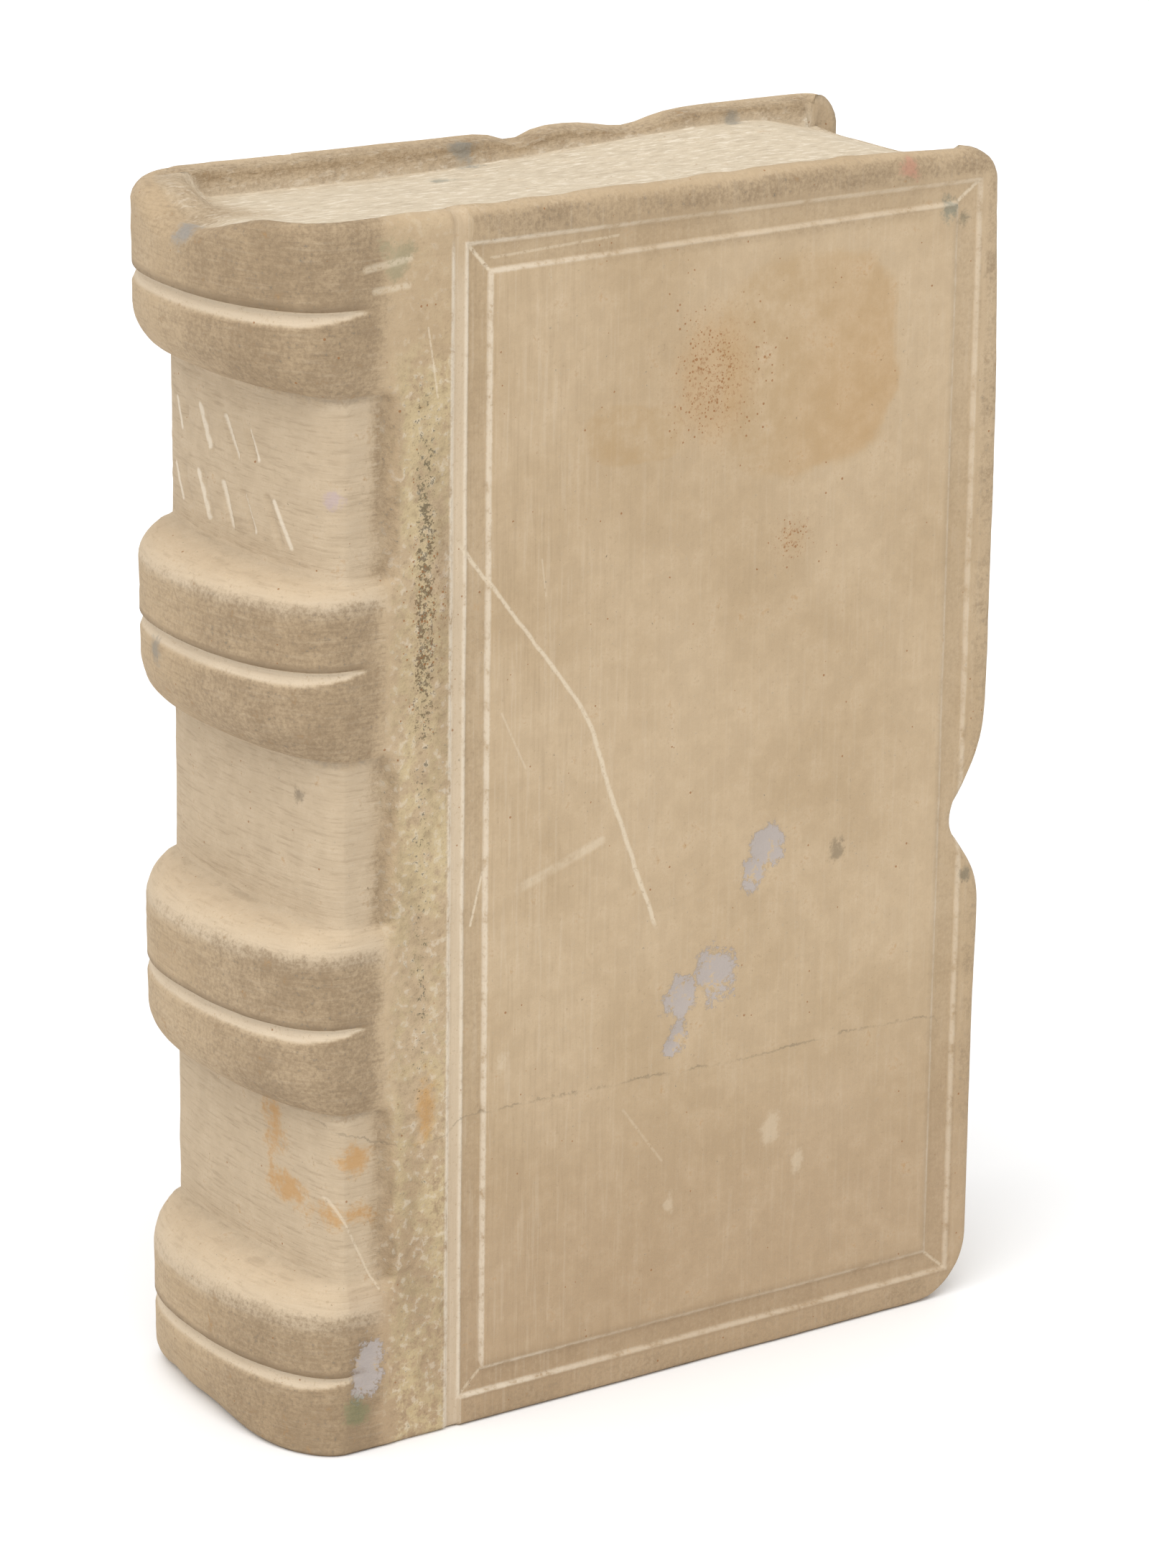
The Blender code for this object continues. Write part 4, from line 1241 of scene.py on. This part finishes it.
def frame_lines(paint):
    """The pale worn edges of the sunk frame and of the hinge channel, on both boards."""
    out = 0.8 * FRAME_WALL
    slant = FRAME_TOP_CLOSES / (FRAME_RIGHT_X[0] - FRAME_LEFT_X[1]) / FRAME_TOP_Z[1]
    closing = paint.times(paint.minus(paint.x, FRAME_LEFT_X[1]), paint.z, slant)
    sides = (FRAME_LEFT_X[0] - out, FRAME_RIGHT_X[1] + out)
    outer = paint.border(
        paint.x, paint.math("ADD", paint.z, closing), *sides, FRAME_BOTTOM_Z[0] - out, FRAME_TOP_Z[1] + out
    )
    sides = (FRAME_LEFT_X[1] + out, FRAME_RIGHT_X[0] - out)
    inner = paint.border(
        paint.x, paint.minus(paint.z, closing), *sides, FRAME_BOTTOM_Z[1] + out, FRAME_TOP_Z[0] - out
    )
    distance = paint.lift(paint.uneven, PALE_LINE_WAVER, paint.math("MINIMUM", outer, inner))
    frame_line = paint.step(distance, *FRAME_LINE_FADES)
    fading = paint.lift(paint.step(paint.x, *FRAME_LINE_GROWS_X), 0.32, 0.34)
    beside_hinge = paint.apart(paint.x, HINGE_LINE_X)
    below_top = paint.step(paint.z, *HINGE_LINE_TOP_Z)
    hinge_line = paint.times(paint.step(beside_hinge, *HINGE_LINE_FADES), below_top, 0.8)
    slanted = paint.lift(paint.x, BOARD_SLANT, paint.math("ABSOLUTE", paint.y))
    on_face = paint.step(slanted, *BOARD_FACE_BEGINS)
    return paint.times(paint.higher(paint.times(frame_line, fading), hinge_line), on_face)


def cut_strokes(paint):
    """The two rows of shallow strokes on the top spine panel."""
    total = None
    for place, middle, half, lean in strokes():
        aside, over = half * math.sin(lean), half * math.cos(lean)
        ends = (place - aside, middle - over), (place + aside, middle + over)
        cut = paint.segment(*ends, STROKE_LINE, True)
        total = cut if total is None else paint.higher(total, cut)
    return paint.times(total, paint.step(paint.x, *STROKES_BEGIN_X), paint.step(paint.uneven, -0.3, -0.05))


def lay_pale_edges(paint):
    """Worn edges and the strokes, with painted shade above the grooves, painted shadow beside the frame, and
    a darker sunk frame.
    """
    line = paint.higher(paint.mark("line"), frame_lines(paint))
    line = paint.times(line, paint.step(paint.ragged, -0.4, 0.1))
    line = paint.higher(line, paint.times(cut_strokes(paint), 0.75))
    # Painted shade and shadow: dark lines above the grooves and beside the frame, and the darker sunk strip
    paint.coat(DIRT_AND_SHADE_TONE, 1.0, paint.mark("shade_and_darker_strip"), paint.step(paint.grit, 0.75, 0.35))
    paint.coat(LINE_TONE, 0.95, line)


def lay_scratches(paint):
    """The scratches, the scuff and the crack on the front board."""
    wander = paint.lift(paint.blotchy, SCRATCH_WANDER, paint.x)
    curved = paint.line(paint.z, wander, CURVED_SCRATCH, SCRATCH_WIDTH)
    scratch = paint.times(curved, paint.step(paint.grit, 0.25, 0.5), 0.8)
    for start, end, width, strength in STRAIGHT_SCRATCHES:
        straight = paint.segment(start, end, width)
        straight = paint.times(straight, paint.step(paint.grit, 0.32, 0.52), strength)
        scratch = paint.higher(scratch, straight)
    scuff = paint.times(paint.segment(*SCUFF), paint.step(paint.mottle, 0.3, 0.6), 0.42)
    paint.scratch = paint.times(paint.higher(scratch, scuff), paint.front)
    paint.coat(SCRATCH_TONE, 1.0, paint.scratch)
    wander = paint.lift(paint.ragged, CRACK_WANDER, paint.z)
    crack = paint.times(paint.line(paint.x, wander, CRACK, CRACK_WIDTH), paint.front)
    paint.coat(CRACK_TONE, 0.5, crack, paint.step(paint.mottle, 0.66, 0.36))


def lay_bump(paint):
    """Relief too fine for the mesh: tool marks, grit, scratches and the chips' edges."""
    strength = paint.lift(paint.mark("strip"), STRIP_BUMP, TOOL_BUMP)
    strength = paint.lift(paint.mark("lengthwise"), HEAD_BUMP, strength)
    strength = paint.lift(paint.mark("level"), SPINE_BUMP, strength)
    height = paint.times(paint.tooling, strength)
    rough_grit = paint.lift(paint.mark("grime_and_shade"), GRIME_BUMP, GRIT_BUMP)
    height = paint.math("ADD", height, paint.times(paint.grit, rough_grit))
    height = paint.lift(paint.scratch, -SCRATCH_BUMP, height)
    height = paint.lift(paint.flake, -FLAKE_BUMP, height)
    bump = paint.node("Bump", {"Height": height, "Strength": 1.0, "Distance": 1.0})
    paint.feed(paint.shader.inputs["Normal"], bump.outputs["Normal"])


def limestone():
    paint = Paint("limestone")
    lay_grains(paint)
    lay_ground(paint)
    lay_grime_and_shade(paint)
    lay_tool_marks(paint)
    lay_stains(paint)
    lay_chips_and_spots(paint)
    lay_pale_edges(paint)
    lay_scratches(paint)
    lay_bump(paint)
    paint.feed(paint.shader.inputs["Base Color"], paint.colour)
    paint.shader.inputs["Roughness"].default_value = 0.86
    paint.shader.inputs["Metallic"].default_value = 0.0
    paint.shader.inputs["Specular IOR Level"].default_value = 0.3
    return paint.material


def make_floor():
    bpy.ops.mesh.primitive_plane_add(size=FLOOR_SIZE)
    floor = bpy.context.object
    floor.name = "floor"
    material = bpy.data.materials.new("pale_floor")
    material.use_nodes = True
    shader = material.node_tree.nodes["Principled BSDF"]
    shader.inputs["Base Color"].default_value = FLOOR_TONE
    shader.inputs["Roughness"].default_value = 0.9
    floor.data.materials.append(material)


def make_lights():
    world = bpy.data.worlds.new("studio")
    bpy.context.scene.world = world
    world.use_nodes = True
    backdrop = world.node_tree.nodes["Background"]
    backdrop.inputs["Color"].default_value = (1.0, 1.0, 1.0, 1.0)
    backdrop.inputs["Strength"].default_value = WORLD_STRENGTH
    softbox = bpy.data.lights.new("softbox", "SUN")
    softbox.energy = SOFTBOX_STRENGTH
    softbox.angle = math.radians(SOFTBOX_WIDTH)
    lamp = bpy.data.objects.new("softbox", softbox)
    bpy.context.scene.collection.objects.link(lamp)
    lamp.rotation_euler = Vector(SOFTBOX_TOWARDS).to_track_quat("Z", "Y").to_euler()


def make_camera():
    turn, climb, roll = (math.radians(a) for a in (CAMERA_TURN, CAMERA_RISE, CAMERA_ROLL))
    back = Vector((math.sin(turn) * math.cos(climb), -math.cos(turn) * math.cos(climb), math.sin(climb)))
    right = (-back).cross(Vector((0.0, 0.0, 1.0))).normalized()
    up = back.cross(right)
    rolled_right = right * math.cos(roll) + up * math.sin(roll)
    rolled_up = up * math.cos(roll) - right * math.sin(roll)
    camera = bpy.data.cameras.new("camera")
    camera.lens = CAMERA_LENS
    camera.sensor_width = CAMERA_SENSOR
    camera.clip_start = 0.01
    camera.clip_end = 20.0
    viewer = bpy.data.objects.new("camera", camera)
    bpy.context.scene.collection.objects.link(viewer)
    axes = Matrix((rolled_right, rolled_up, back)).transposed().to_4x4()
    viewer.matrix_world = Matrix.Translation(Vector(CAMERA_AIM) + back * CAMERA_DISTANCE) @ axes
    bpy.context.scene.camera = viewer


book = carved_book()
book.data.materials.append(limestone())
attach(book, "root")
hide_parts("stone_bible")
make_floor()
make_lights()
make_camera()
bpy.context.scene.view_settings.view_transform = "Standard"
